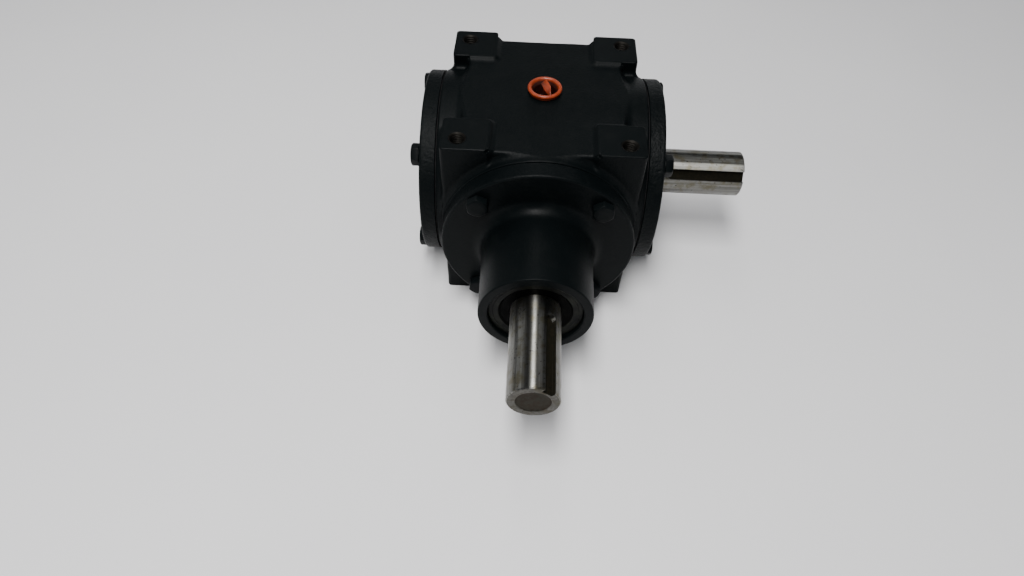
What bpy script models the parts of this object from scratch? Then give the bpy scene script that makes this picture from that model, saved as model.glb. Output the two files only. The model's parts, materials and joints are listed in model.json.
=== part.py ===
"""A right-angle bevel gearbox: one input shaft, one output shaft, straight bevel gears, 1:1.

Every piece is modelled around the point where the two shaft axes cross. The input axis runs
along -Y and the output axis along +X. The origin of the scene is on the base, under that point.
"""
import math

import bmesh
import bpy
from mathutils import Matrix, Vector

MM = 0.001
GAP = 0.3 * MM                      # clearance left between faces that touch
FINE = 32                           # sides of a large turned piece
COARSE = 20                         # sides of a bearing or a small turned piece
HOLE_SIDES = 10

# Housing casting
AXIS_HEIGHT = 73.5 * MM             # base to shaft axes
COLUMN_REACH = 70 * MM              # outer faces of the four corner columns
COLUMN_SIZE = 33 * MM
PAD_RISE = 2.7 * MM                 # pads stand proud of the plates between them
BOSS_RADIUS = 70.5 * MM             # round bosses that carry the covers
BOSS_FACE = 75.5 * MM               # shaft crossing to a boss's machined face
BOSS_LENGTH = 30 * MM
SIDE_WALL = 58 * MM
FRONT_WALL = 68.5 * MM
BACK_WALL = 64.6 * MM
BORE_RADIUS = 52.1 * MM
CAVITY = (50 * MM, 54 * MM, 58 * MM)  # half sizes of the gear chamber
BASE_BOSS_RADIUS = 18 * MM
MOUNT_HOLE_OFFSET = 59 * MM
MOUNT_HOLE_RADIUS = 4.7 * MM        # 7/16-14 thread, cut to its minor diameter
MOUNT_HOLE_MOUTH = 5.9 * MM
MOUNT_HOLE_DEPTH = 20 * MM
WALL_DRILL = 20 * MM                # longer than any wall is thick
REACH_PAST = 5 * MM                 # how far a cutting tool runs past what it cuts

# Covers
GASKET_THICKNESS = 0.5 * MM
COVER_SEAT = BOSS_FACE + GASKET_THICKNESS + 2 * GAP
SIDE_COVER_FACE = 88.2 * MM
FRONT_COVER_FACE = 89.7 * MM
SPIGOT_RADIUS = 51.8 * MM
SPIGOT_END = 62.4 * MM
SNOUT_RADIUS = 39.6 * MM
SNOUT_END = 152.3 * MM
SNOUT_FILLET = 8 * MM
BLIND_FLOOR = 81 * MM
FLANGE_EDGE = 1.0 * MM
SNOUT_EDGE = 0.8 * MM
GASKET_INSET = (0.8 * MM, 1.2 * MM)  # from the spigot and from the flange's edge

# Cover screws: 3/8 inch hexagon heads on a 122 mm circle
SCREW_CIRCLE = 61 * MM
SCREW_RADIUS = 4.6 * MM
SCREW_HOLE_RADIUS = 4.95 * MM
SCREW_LENGTH = 31 * MM
SCREW_HOLE_DEPTH = 20.5 * MM
HEAD_FLATS = 14.3 * MM
HEAD_HEIGHT = 6.1 * MM
HEAD_CHAMFER = (0.85, 0.84)         # where it starts, and the top's share of the corners

# Shafts: 1 3/8 inch with 5/16 inch keyways
SHAFT_RADIUS = 17.4625 * MM
INPUT_TIP = 218.4 * MM
INPUT_TAIL = 23.2 * MM
OUTPUT_TIP = 160.7 * MM
OUTPUT_TAIL = 79.6 * MM
COLLAR_RADIUS = 20.6 * MM
COLLAR_HALF = 24 * MM
TIP_CHAMFER = 0.9 * MM
KEYWAY_WIDTH = 7.94 * MM
KEYWAY_DEPTH = 3.97 * MM
INPUT_KEYWAY_START = 160 * MM
INPUT_KEYWAY_ANGLE = math.radians(36)
OUTPUT_KEYWAY_START = 100 * MM
OUTPUT_KEYWAY_ANGLE = math.radians(57)
GEAR_KEY = (32 * MM, 58 * MM)       # stations of the key under each gear's hub
KEY_SIDE = 7.3 * MM

# Tapered roller bearings, 34.9 x 65.1 x 18 mm
CUP_RADIUS = 32.545 * MM
CUP_WIDTH = 13.97 * MM
BEARING_WIDTH = 18.03 * MM
CONE_BORE = SHAFT_RADIUS + GAP
CUP_RACE = 27.6 * MM                # race radii at the cup's back face
CONE_RACE = 21.3 * MM
CUP_SLOPE = math.tan(math.radians(12))
CONE_SLOPE = math.tan(math.radians(9))
ROLLER_SPAN = (2.6 * MM, 15.0 * MM)
ROLLER_COUNT = 18
ROLLER_GAP = 0.55 * MM              # more than a race's flats stand in from its true circle
CAGE_HALF = 0.55 * MM
CONE_RIBS = (0.9 * MM, 4.3 * MM)    # height of the small and the large rib over the race
SHOULDER = 80.6 * MM                # cup shoulders nearest the gears
OUTER_CUP_BACK = 108 * MM           # back face of the snout's outer cup
RIB_RADIUS = 28 * MM
CUP_SEAT_RADIUS = CUP_RADIUS + GAP

# Oil seals
INPUT_SEAL = (141.5 * MM, 149 * MM)
OUTPUT_SEAL = (81.6 * MM, 87.6 * MM)
OUTPUT_SEAL_RADIUS = 25.4 * MM
SEAL_WALL = 1.6 * MM
SEAL_LIP = (1.6 * MM, 1.2 * MM)     # thickness over the shaft, and how far it stands back
SPRING_PLACE = 2.9 * MM             # from a seal's inner end to its spring
SPRING_SEAT = 1.0 * MM
SPRING_WIRE = 0.75 * MM
SPRING_SIDES = 6

# Bevel gears: 20 teeth each, 45 degree pitch cones
TEETH = 20
PITCH_RADIUS = 42.5 * MM
MODULE = 2 * PITCH_RADIUS / TEETH
FACE_WIDTH = 20 * MM
PRESSURE_ANGLE = math.radians(20)
TOOTH_THINNING = 0.28 * MM
HUB_RADIUS = 27 * MM
HUB_END = 62.0 * MM
WEB_RADIUS = 33 * MM                # the stepped web behind the teeth
WEB_FRONT_RADIUS = 21.5 * MM
WEB_STEP = 5 * MM
INPUT_GEAR_FRONT = 27.0 * MM
OUTPUT_GEAR_FRONT = COLLAR_HALF + GAP

# Small pieces on the shafts
RING_SPAN = (25.3 * MM, 26.6 * MM)
RING_RADII = (16.4 * MM, 20.8 * MM)
GROOVE_RADIUS = 16.05 * MM
WASHER_SPAN = (126.6 * MM, 128.2 * MM)
NUT_SPAN = (128.5 * MM, 138.8 * MM)
NUT_RADIUS = 26.2 * MM
NUT_SLOTS = 4
SLOT_SIZE = (6 * MM, 7 * MM)
RING_OPENING = 5 * MM
SPACER_WALL = 4.5 * MM

# Plugs
FILLER_RIM = (9.3 * MM, 12.75 * MM)
FILLER_TOP = 75.6 * MM
FILLER_DEPTH = 14 * MM
FILLER_FLOOR = 1.2 * MM
FILLER_CUP = (9.8 * MM, 8.0 * MM)   # mouth and inner radius
FILLER_MOUTH_DEPTH = 4 * MM
FILLER_EDGE = 0.8 * MM
BLADE_DROP = (1.0 * MM, 3.4 * MM)   # ridge and flank below the plug's top
BLADE_SECTIONS = (                  # along the blade: y of its ridge and foot, x of ridge and flank
    (9.4 * MM, 8.2 * MM, 0.9 * MM, -3.0 * MM),
    (1.6 * MM, 1.6 * MM, 3.7 * MM, -1.7 * MM),
    (-8.0 * MM, -7.2 * MM, 4.0 * MM, 3.1 * MM),
)
BLADE_RIDGE = 0.8 * MM
PIPE_PLUG_RADIUS = 8.6 * MM
PIPE_PLUG_LENGTH = 9.5 * MM
PIPE_PLUG_SOCKET = 7.9 * MM
PIPE_PLUG_SOCKET_DEPTH = 6 * MM
DRAIN_DROP = 46 * MM

CENTRE = Vector((0, 0, AXIS_HEIGHT))
FRONT = Vector((0, -1, 0))
RIGHT = Vector((1, 0, 0))
LEFT = Vector((-1, 0, 0))
BACK = Vector((0, 1, 0))
UP = Vector((0, 0, 1))
DOWN = Vector((0, 0, -1))

MATERIALS = {
    "paint": ((0.020, 0.027, 0.032), 0.42, 0.0),
    "screw": ((0.030, 0.036, 0.040), 0.40, 0.3),
    "gasket": ((0.010, 0.010, 0.011), 0.80, 0.0),
    "ground_steel": ((0.56, 0.55, 0.52), 0.28, 1.0),
    "bearing_steel": ((0.62, 0.62, 0.63), 0.22, 1.0),
    "gear_steel": ((0.40, 0.39, 0.38), 0.35, 1.0),
    "seal_rubber": ((0.035, 0.035, 0.030), 0.60, 0.0),
    "plug_plastic": ((0.90, 0.20, 0.03), 0.40, 0.0),
    "plug_steel": ((0.20, 0.20, 0.21), 0.45, 1.0),
}


def clear_scene():
    for item in list(bpy.data.objects):
        bpy.data.objects.remove(item, do_unlink=True)


def make_material(name):
    colour, roughness, metallic = MATERIALS[name]
    material = bpy.data.materials.new(name)
    material.use_nodes = True
    shader = material.node_tree.nodes["Principled BSDF"]
    shader.inputs["Base Color"].default_value = (*colour, 1.0)
    shader.inputs["Roughness"].default_value = roughness
    shader.inputs["Metallic"].default_value = metallic
    return material


def add_object(name, mesh_data, material=None, parent=None):
    """Put a bmesh into the scene at the shaft crossing, or at its parent empty."""
    bmesh.ops.remove_doubles(mesh_data, verts=mesh_data.verts, dist=1e-7)
    bmesh.ops.recalc_face_normals(mesh_data, faces=mesh_data.faces)
    mesh = bpy.data.meshes.new(name)
    mesh_data.to_mesh(mesh)
    mesh_data.free()
    item = bpy.data.objects.new(name, mesh)
    bpy.context.collection.objects.link(item)
    if material:
        own = make_material(material)
        own.name = name
        mesh.materials.append(own)
    if parent:
        item.parent = parent
    else:
        item.location = CENTRE
    return item


def smooth(item, angle=35):
    item.data.shade_smooth()
    item.data.set_sharp_from_angle(angle=math.radians(angle))


def add_empty(name):
    """An empty whose origin is on a joint's axis, as the parent of what turns there."""
    item = bpy.data.objects.new(name, None)
    item.location = CENTRE
    bpy.context.collection.objects.link(item)
    return item


def turned(name, profile, direction, sides=FINE, closed=True, material=None, parent=None,
           base=Vector()):
    """Spin (station, radius) points about an axis through base; stations run along direction."""
    work = bmesh.new()
    across = UP if abs(direction.dot(UP)) < 0.5 else RIGHT
    verts = [work.verts.new(base + direction * station + across * radius)
             for station, radius in profile]
    for first, second in zip(verts, verts[1:]):
        work.edges.new((first, second))
    if closed:
        work.edges.new((verts[-1], verts[0]))
    bmesh.ops.spin(work, geom=work.verts[:] + work.edges[:], cent=base, axis=direction,
                   angle=2 * math.pi, steps=sides, use_merge=True)
    return add_object(name, work, material, parent)


def box(name, low, high, material=None, parent=None):
    work = bmesh.new()
    size = Vector(high) - Vector(low)
    middle = (Vector(high) + Vector(low)) / 2
    matrix = Matrix.Translation(middle) @ Matrix.Diagonal((*size, 1.0))
    bmesh.ops.create_cube(work, size=1.0, matrix=matrix)
    return add_object(name, work, material, parent)


def box_between(name, first, second, material=None, parent=None):
    """A box from any two opposite corners."""
    low = [min(a, b) for a, b in zip(first, second)]
    high = [max(a, b) for a, b in zip(first, second)]
    return box(name, low, high, material, parent)


def rod(name, base, direction, length, radius, sides=HOLE_SIDES, parent=None):
    """A solid cylinder from base along direction."""
    work = bmesh.new()
    turn = UP.rotation_difference(direction).to_matrix().to_4x4()
    matrix = Matrix.Translation(base + direction * (length / 2)) @ turn
    bmesh.ops.create_cone(work, cap_ends=True, segments=sides, radius1=radius, radius2=radius,
                          depth=length, matrix=matrix)
    return add_object(name, work, None, parent)


def combine(target, tools, operation):
    """Join tools to the target or cut them from it, and leave one plain mesh."""
    for tool in tools:
        tool.location = target.location
        modifier = target.modifiers.new(tool.name, "BOOLEAN")
        modifier.operation = operation
        modifier.solver = "EXACT"
        modifier.object = tool
    bpy.context.view_layer.update()
    graph = bpy.context.evaluated_depsgraph_get()
    result = bpy.data.meshes.new_from_object(target.evaluated_get(graph))
    old = target.data
    target.modifiers.clear()
    target.data = result
    bpy.data.meshes.remove(old)
    for tool in tools:
        bpy.data.objects.remove(tool, do_unlink=True)


def square_corners():
    """The four corner directions, as signs."""
    return [(sx, sy) for sx in (-1, 1) for sy in (-1, 1)]


def make_housing():
    plate = AXIS_HEIGHT - PAD_RISE
    housing = box("housing", (-SIDE_WALL, -FRONT_WALL, -plate), (SIDE_WALL, BACK_WALL, plate), "paint")
    inner = COLUMN_REACH - COLUMN_SIZE
    solids = []
    for sx, sy in square_corners():
        near = (sx * inner, sy * inner, -AXIS_HEIGHT)
        far = (sx * COLUMN_REACH, sy * COLUMN_REACH, AXIS_HEIGHT)
        solids.append(box_between("column", near, far))
    root = BOSS_FACE - BOSS_LENGTH
    for direction in (FRONT, RIGHT, LEFT):
        solids.append(rod("boss", direction * root, direction, BOSS_LENGTH, BOSS_RADIUS, FINE))
    solids.append(rod("base_boss", UP * -AXIS_HEIGHT, UP, 2 * PAD_RISE, BASE_BOSS_RADIUS, COARSE))
    combine(housing, solids, "UNION")

    through = BOSS_FACE + REACH_PAST
    inside = box("inside", [-half for half in CAVITY], CAVITY)
    bores = [rod("bore", Vector(), direction, through, BORE_RADIUS, FINE)
             for direction in (FRONT, RIGHT, LEFT)]
    combine(inside, bores, "UNION")
    combine(housing, [inside], "DIFFERENCE")

    cuts = [rod("filler_hole", UP * (CAVITY[2] - REACH_PAST), UP, WALL_DRILL, FILLER_RIM[0] + GAP, COARSE)]
    for sx, sy in square_corners():
        for end in (UP, DOWN):
            mouth = Vector((sx, sy, 0)) * MOUNT_HOLE_OFFSET + end * AXIS_HEIGHT
            bevel = MOUNT_HOLE_MOUTH - MOUNT_HOLE_RADIUS
            profile = [(-MOUNT_HOLE_DEPTH, 0), (-MOUNT_HOLE_DEPTH, MOUNT_HOLE_RADIUS),
                       (-bevel, MOUNT_HOLE_RADIUS), (bevel, MOUNT_HOLE_MOUTH + bevel), (bevel, 0)]
            cuts.append(turned("mount_hole", profile, end, HOLE_SIDES, False, base=mouth))
    for direction in (FRONT, RIGHT, LEFT):
        for spot in screw_spots(direction):
            cuts.append(rod("screw_hole", spot + direction * (BOSS_FACE + MM), -direction,
                            SCREW_HOLE_DEPTH, SCREW_HOLE_RADIUS))
    for height in (0.0, -DRAIN_DROP):
        base = BACK * (CAVITY[1] - REACH_PAST) + UP * height
        cuts.append(rod("plug_hole", base, BACK, WALL_DRILL, PIPE_PLUG_RADIUS + GAP, COARSE))
    combine(housing, cuts, "DIFFERENCE")
    smooth(housing)
    return housing


def screw_spots(direction):
    """Where a cover's four screws cross the plane through the shaft crossing."""
    across = direction.cross(UP)
    offset = SCREW_CIRCLE * math.sqrt(0.5)
    return [(across * sx + UP * sz) * offset for sx, sz in square_corners()]


def drill_cover(cover, direction, face):
    cuts = [rod("screw_hole", spot + direction * (face + MM), -direction, WALL_DRILL, SCREW_HOLE_RADIUS)
            for spot in screw_spots(direction)]
    combine(cover, cuts, "DIFFERENCE")
    smooth(cover)


def cover_flange(face):
    """The outline shared by the covers: the spigot's outside, then the flange."""
    return [
        (SPIGOT_END, CUP_SEAT_RADIUS), (SPIGOT_END, SPIGOT_RADIUS), (COVER_SEAT, SPIGOT_RADIUS),
        (COVER_SEAT, BOSS_RADIUS), (face - FLANGE_EDGE, BOSS_RADIUS), (face, BOSS_RADIUS - FLANGE_EDGE),
    ]


def make_side_covers():
    seat = [(SHOULDER, CUP_SEAT_RADIUS)]
    seal_bore = OUTPUT_SEAL_RADIUS + GAP
    outline = cover_flange(SIDE_COVER_FACE)
    bore = [(SIDE_COVER_FACE, seal_bore), (SHOULDER, seal_bore)]
    right = turned("right_cover", outline + bore + seat, RIGHT, material="paint")
    drill_cover(right, RIGHT, SIDE_COVER_FACE)
    blind = [(BLIND_FLOOR, 0), (BLIND_FLOOR, RIB_RADIUS), (SHOULDER, RIB_RADIUS)] + seat
    left = turned("left_cover", blind + outline + [(SIDE_COVER_FACE, 0)], LEFT,
                  closed=False, material="paint")
    drill_cover(left, LEFT, SIDE_COVER_FACE)


def make_front_cover():
    fillet = []
    steps = 4
    for step in range(steps + 1):
        angle = math.pi / 2 * step / steps
        fillet.append((FRONT_COVER_FACE + SNOUT_FILLET * (1 - math.cos(angle)),
                       SNOUT_RADIUS + SNOUT_FILLET * (1 - math.sin(angle))))
    profile = cover_flange(FRONT_COVER_FACE) + fillet + [
        (SNOUT_END - SNOUT_EDGE, SNOUT_RADIUS), (SNOUT_END, SNOUT_RADIUS - SNOUT_EDGE),
        (SNOUT_END, CUP_SEAT_RADIUS), (OUTER_CUP_BACK, CUP_SEAT_RADIUS),
        (OUTER_CUP_BACK, RIB_RADIUS), (SHOULDER, RIB_RADIUS), (SHOULDER, CUP_SEAT_RADIUS),
    ]
    cover = turned("front_cover", profile, FRONT, material="paint")
    drill_cover(cover, FRONT, FRONT_COVER_FACE)


def make_gasket(name, direction):
    start = BOSS_FACE + GAP
    inner = SPIGOT_RADIUS + GASKET_INSET[0]
    outer = BOSS_RADIUS - GASKET_INSET[1]
    end = start + GASKET_THICKNESS
    gasket = turned(name, [(start, inner), (start, outer), (end, outer), (end, inner)], direction,
                    material="gasket")
    root = direction * (start - REACH_PAST)
    cuts = [rod("screw_hole", spot + root, direction, 2 * REACH_PAST, SCREW_HOLE_RADIUS)
            for spot in screw_spots(direction)]
    combine(gasket, cuts, "DIFFERENCE")


def make_screw(name, spot, direction, face):
    """A hexagon head with a washer face, and its plain shank."""
    head = face + GAP
    corner = HEAD_FLATS / 2 / math.cos(math.pi / 6)
    chamfer = head + HEAD_HEIGHT * HEAD_CHAMFER[0]
    turn = UP.rotation_difference(direction).to_matrix().to_4x4()
    stages = [(SCREW_RADIUS, SCREW_RADIUS, head - SCREW_LENGTH, head + MM, HOLE_SIDES),
              (corner, corner, head, chamfer, 6),
              (corner, corner * HEAD_CHAMFER[1], chamfer, head + HEAD_HEIGHT, 6)]
    parts = []
    for base_radius, top_radius, start, end, sides in stages:
        matrix = Matrix.Translation(spot + direction * ((start + end) / 2)) @ turn
        work = bmesh.new()
        bmesh.ops.create_cone(work, cap_ends=True, segments=sides, radius1=base_radius,
                              radius2=top_radius, depth=end - start, matrix=matrix)
        parts.append(add_object(name, work, "screw" if not parts else None))
    combine(parts[0], parts[1:], "UNION")
    parts[0].name = name


def make_screws():
    places = (("front", FRONT, FRONT_COVER_FACE), ("right", RIGHT, SIDE_COVER_FACE),
              ("left", LEFT, SIDE_COVER_FACE))
    for side, direction, face in places:
        for index, spot in enumerate(screw_spots(direction), start=1):
            make_screw(f"{side}_cover_screw_{index}", spot, direction, face)


def keyway_cutter(direction, angle, start, end, open_end, parent=None):
    """A slot of keyway width with an end-milled round end, sunk into a shaft's surface."""
    across = direction.cross(UP)
    outward = UP * math.cos(angle) + across * math.sin(angle)
    side = direction.cross(outward)
    floor = SHAFT_RADIUS - KEYWAY_DEPTH
    top = SHAFT_RADIUS + REACH_PAST
    half = KEYWAY_WIDTH / 2
    outline = []
    steps = 6
    for step in range(steps + 1):
        turn = math.pi * (0.5 + step / steps)
        outline.append((start + half + half * math.cos(turn), half * math.sin(turn)))
    if open_end:
        outline += [(end + REACH_PAST, -half), (end + REACH_PAST, half)]
    else:
        for step in range(steps + 1):
            turn = math.pi * (-0.5 + step / steps)
            outline.append((end - half + half * math.cos(turn), half * math.sin(turn)))
    work = bmesh.new()
    ring = [work.verts.new(direction * along + side * width + outward * floor) for along, width in outline]
    face = work.faces.new(ring)
    lifted = bmesh.ops.extrude_face_region(work, geom=[face])
    moved = [part for part in lifted["geom"] if isinstance(part, bmesh.types.BMVert)]
    bmesh.ops.translate(work, verts=moved, vec=outward * (top - floor))
    return add_object("keyway", work, None, parent)


def make_key(name, direction, parent):
    """A square key with flat ends, half in the shaft and half in the gear's hub."""
    start, end = GEAR_KEY
    across = direction.cross(UP)
    floor = SHAFT_RADIUS - KEYWAY_DEPTH + GAP
    half = KEY_SIDE / 2
    first = direction * (start + KEYWAY_WIDTH / 2 + GAP) - across * half + UP * floor
    second = direction * (end - KEYWAY_WIDTH / 2 - GAP) + across * half + UP * (floor + KEY_SIDE)
    return box_between(name, first, second, "ground_steel", parent)


def make_input_shaft(parent):
    groove_low = RING_SPAN[0] - GAP
    groove_high = RING_SPAN[1] + GAP
    profile = [
        (INPUT_TAIL, 0), (INPUT_TAIL, SHAFT_RADIUS), (groove_low, SHAFT_RADIUS),
        (groove_low, GROOVE_RADIUS), (groove_high, GROOVE_RADIUS), (groove_high, SHAFT_RADIUS),
        (INPUT_TIP - TIP_CHAMFER, SHAFT_RADIUS), (INPUT_TIP, SHAFT_RADIUS - TIP_CHAMFER),
        (INPUT_TIP, 0),
    ]
    shaft = turned("input_shaft", profile, FRONT, FINE, False, "ground_steel", parent)
    cuts = [keyway_cutter(FRONT, -INPUT_KEYWAY_ANGLE, INPUT_KEYWAY_START, INPUT_TIP, True, parent),
            keyway_cutter(FRONT, 0, *GEAR_KEY, False, parent)]
    combine(shaft, cuts, "DIFFERENCE")
    smooth(shaft)


def make_output_shaft(parent):
    profile = [
        (-OUTPUT_TAIL, 0), (-OUTPUT_TAIL, SHAFT_RADIUS), (-COLLAR_HALF, SHAFT_RADIUS),
        (-COLLAR_HALF, COLLAR_RADIUS), (COLLAR_HALF, COLLAR_RADIUS), (COLLAR_HALF, SHAFT_RADIUS),
        (OUTPUT_TIP - TIP_CHAMFER, SHAFT_RADIUS), (OUTPUT_TIP, SHAFT_RADIUS - TIP_CHAMFER),
        (OUTPUT_TIP, 0),
    ]
    shaft = turned("output_shaft", profile, RIGHT, FINE, False, "ground_steel", parent)
    cuts = [keyway_cutter(RIGHT, OUTPUT_KEYWAY_ANGLE, OUTPUT_KEYWAY_START, OUTPUT_TIP, True, parent),
            keyway_cutter(LEFT, 0, *GEAR_KEY, False, parent)]
    combine(shaft, cuts, "DIFFERENCE")
    smooth(shaft)


def tooth_outline():
    """One tooth on the developed back cone, as (distance from pitch line, angle) points."""
    slope = math.sqrt(0.5)
    virtual = PITCH_RADIUS / slope
    base = virtual * math.cos(PRESSURE_ANGLE)
    root = virtual - 1.25 * MODULE
    tip = virtual + MODULE
    half_pitch = (math.pi * MODULE / 4 - TOOTH_THINNING / 2) / virtual
    pitch_roll = math.tan(PRESSURE_ANGLE) - PRESSURE_ANGLE
    flank = [(root, half_pitch + pitch_roll)]
    steps = 2
    for step in range(steps + 1):
        radius = base + (tip - base) * (step / steps)
        pressure = math.acos(base / radius)
        roll = math.tan(pressure) - pressure
        flank.append((radius, half_pitch + pitch_roll - roll))
    left = [(radius - virtual, -angle / slope) for radius, angle in flank]
    right = [(radius - virtual, angle / slope) for radius, angle in reversed(flank)]
    return left + right


def make_gear(name, direction, sideways, front, phase, parent):
    """A straight bevel gear whose teeth taper to the shaft crossing."""
    slope = math.sqrt(0.5)
    work = bmesh.new()
    cone = PITCH_RADIUS / slope
    third = direction.cross(sideways)
    loops = []
    for scale in (1.0, (cone - FACE_WIDTH) / cone):
        loop = []
        for tooth in range(TEETH):
            middle = 2 * math.pi * (tooth + phase) / TEETH
            for height, angle in tooth_outline():
                along = (PITCH_RADIUS - height * slope) * scale
                radius = (PITCH_RADIUS + height * slope) * scale
                turn = middle + angle
                outward = sideways * math.cos(turn) + third * math.sin(turn)
                loop.append(work.verts.new(direction * along + outward * radius))
        loops.append(loop)
    count = len(loops[0])
    heel = work.verts.new(direction * (PITCH_RADIUS + 1.25 * MODULE * slope))
    toe = work.verts.new(direction * (PITCH_RADIUS - FACE_WIDTH * slope))
    for index in range(count):
        after = (index + 1) % count
        work.faces.new((loops[0][index], loops[0][after], loops[1][after], loops[1][index]))
        work.faces.new((loops[0][after], loops[0][index], heel))
        work.faces.new((loops[1][index], loops[1][after], toe))
    gear = add_object(name, work, "gear_steel", parent)
    back = PITCH_RADIUS + WEB_STEP
    outline = [(front, 0), (front, WEB_FRONT_RADIUS), (back, WEB_RADIUS), (back + WEB_STEP, WEB_RADIUS),
               (back + WEB_STEP, HUB_RADIUS), (HUB_END, HUB_RADIUS), (HUB_END, 0)]
    hub = turned("hub", outline, direction, COARSE, False, None, parent)
    combine(gear, [hub], "UNION")
    root = direction * (front - REACH_PAST)
    bore = rod("bore", root, direction, HUB_END, SHAFT_RADIUS + 1.5 * GAP, COARSE, parent)
    side = direction.cross(UP) * (KEYWAY_WIDTH / 2)
    key_top = UP * (SHAFT_RADIUS - KEYWAY_DEPTH + KEY_SIDE + 2 * GAP)
    slot = box_between("slot", root - side, direction * (HUB_END + REACH_PAST) + side + key_top, None, parent)
    combine(gear, [bore, slot], "DIFFERENCE")
    smooth(gear, 25)


def bearing_stations(back_face, toward_gears):
    """Station of a point measured from a cup's back face towards its cone's back face."""
    sign = -1 if toward_gears else 1
    return lambda depth: back_face + sign * depth


def make_cup(name, direction, place):
    profile = [(0, CUP_RACE), (CUP_WIDTH, CUP_RACE + CUP_SLOPE * CUP_WIDTH),
               (CUP_WIDTH, CUP_RADIUS), (0, CUP_RADIUS)]
    cup = turned(name, [(place(depth), radius) for depth, radius in profile], direction, COARSE,
                 material="bearing_steel")
    smooth(cup)


def make_cone(name, direction, place, parent):
    low, high = ROLLER_SPAN
    small_rib, large_rib = (CONE_RACE + rib for rib in CONE_RIBS)
    profile = [
        (GAP, CONE_BORE), (GAP, small_rib), (low - GAP, small_rib),
        (low - GAP, CONE_RACE + CONE_SLOPE * low), (high + GAP, CONE_RACE + CONE_SLOPE * high),
        (high + GAP, large_rib), (BEARING_WIDTH, large_rib), (BEARING_WIDTH, CONE_BORE),
    ]
    cone = turned(name, [(place(depth), radius) for depth, radius in profile], direction, COARSE,
                  True, "bearing_steel", parent)
    smooth(cone)


def roller_section(depth):
    """Centre radius and roller radius of the roller ring at a depth."""
    outer = CUP_RACE + CUP_SLOPE * depth
    inner = CONE_RACE + CONE_SLOPE * depth
    return (outer + inner) / 2, (outer - inner) / 2 - ROLLER_GAP


def make_rollers(name, direction, place, parent):
    """The rollers and the cage that spaces them, as one ring that rolls round the cone."""
    work = bmesh.new()
    third = direction.cross(UP)
    pitch = 2 * math.pi / ROLLER_COUNT
    loops = []
    for side in (1, -1):
        for depth in (ROLLER_SPAN if side > 0 else reversed(ROLLER_SPAN)):
            centre, radius = roller_section(depth)
            half = math.asin(0.9 * radius / centre)
            offsets = (-0.5 * pitch, -half, 0.0, half)
            loop = []
            for roller in range(ROLLER_COUNT):
                for offset in offsets:
                    reach = centre + side * CAGE_HALF
                    if abs(offset) <= half:
                        bulge = math.sqrt(radius ** 2 - (centre * math.sin(offset)) ** 2)
                        reach = centre * math.cos(offset) + side * max(bulge, CAGE_HALF)
                    turn = roller * pitch + offset
                    outward = UP * math.cos(turn) + third * math.sin(turn)
                    loop.append(work.verts.new(direction * place(depth) + outward * reach))
            loops.append(loop)
    for loop, following in zip(loops, loops[1:] + loops[:1]):
        count = len(loop)
        for index in range(count):
            after = (index + 1) % count
            work.faces.new((loop[index], loop[after], following[after], following[index]))
    smooth(add_object(name, work, "bearing_steel", parent))


def make_bearing(name, direction, back_face, toward_gears, shaft_parent, cage_parent):
    place = bearing_stations(back_face, toward_gears)
    make_cup(f"{name}_bearing_cup", direction, place)
    make_cone(f"{name}_bearing_cone", direction, place, shaft_parent)
    make_rollers(f"{name}_bearing_rollers", direction, place, cage_parent)


def make_seal(name, direction, span, radius):
    """A lip seal: outer case, web and inner lip, with a groove for its garter spring."""
    inner_end, outer_end = span
    case = radius - SEAL_WALL
    lip = SHAFT_RADIUS + GAP
    web = outer_end - SEAL_WALL
    lip_end = inner_end + SEAL_LIP[1]
    spring = spring_station(span)
    notch = SPRING_WIRE + GAP
    lip_top = lip + SEAL_LIP[0]
    groove = lip + SPRING_SEAT
    profile = [
        (inner_end, radius), (inner_end, case), (web, case), (web, lip_top),
        (spring + notch, lip_top), (spring + notch, groove), (spring - notch, groove),
        (spring - notch, lip_top), (lip_end, lip_top),
        (lip_end, lip), (outer_end, lip), (outer_end, radius),
    ]
    smooth(turned(name, profile, direction, COARSE, True, "seal_rubber"))


def spring_station(span):
    return span[0] + SPRING_PLACE


def make_seal_spring(name, direction, span):
    ring_radius = SHAFT_RADIUS + GAP + SPRING_SEAT + GAP + SPRING_WIRE
    profile = []
    for step in range(SPRING_SIDES):
        angle = 2 * math.pi * step / SPRING_SIDES
        profile.append((spring_station(span) + SPRING_WIRE * math.cos(angle),
                        ring_radius + SPRING_WIRE * math.sin(angle)))
    smooth(turned(name, profile, direction, COARSE, True, "bearing_steel"), 80)


def make_retaining_ring(parent):
    """An open ring in the groove at the input shaft's inner end."""
    start, end = RING_SPAN
    low, high = RING_RADII
    ring = turned("input_retaining_ring", [(start, low), (start, high), (end, high), (end, low)],
                  FRONT, COARSE, True, "bearing_steel", parent)
    half = RING_OPENING / 2
    opening = box("opening", (-half, -end - REACH_PAST, -high - REACH_PAST),
                  (half, -start + REACH_PAST, 0), None, parent)
    combine(ring, [opening], "DIFFERENCE")


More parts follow.
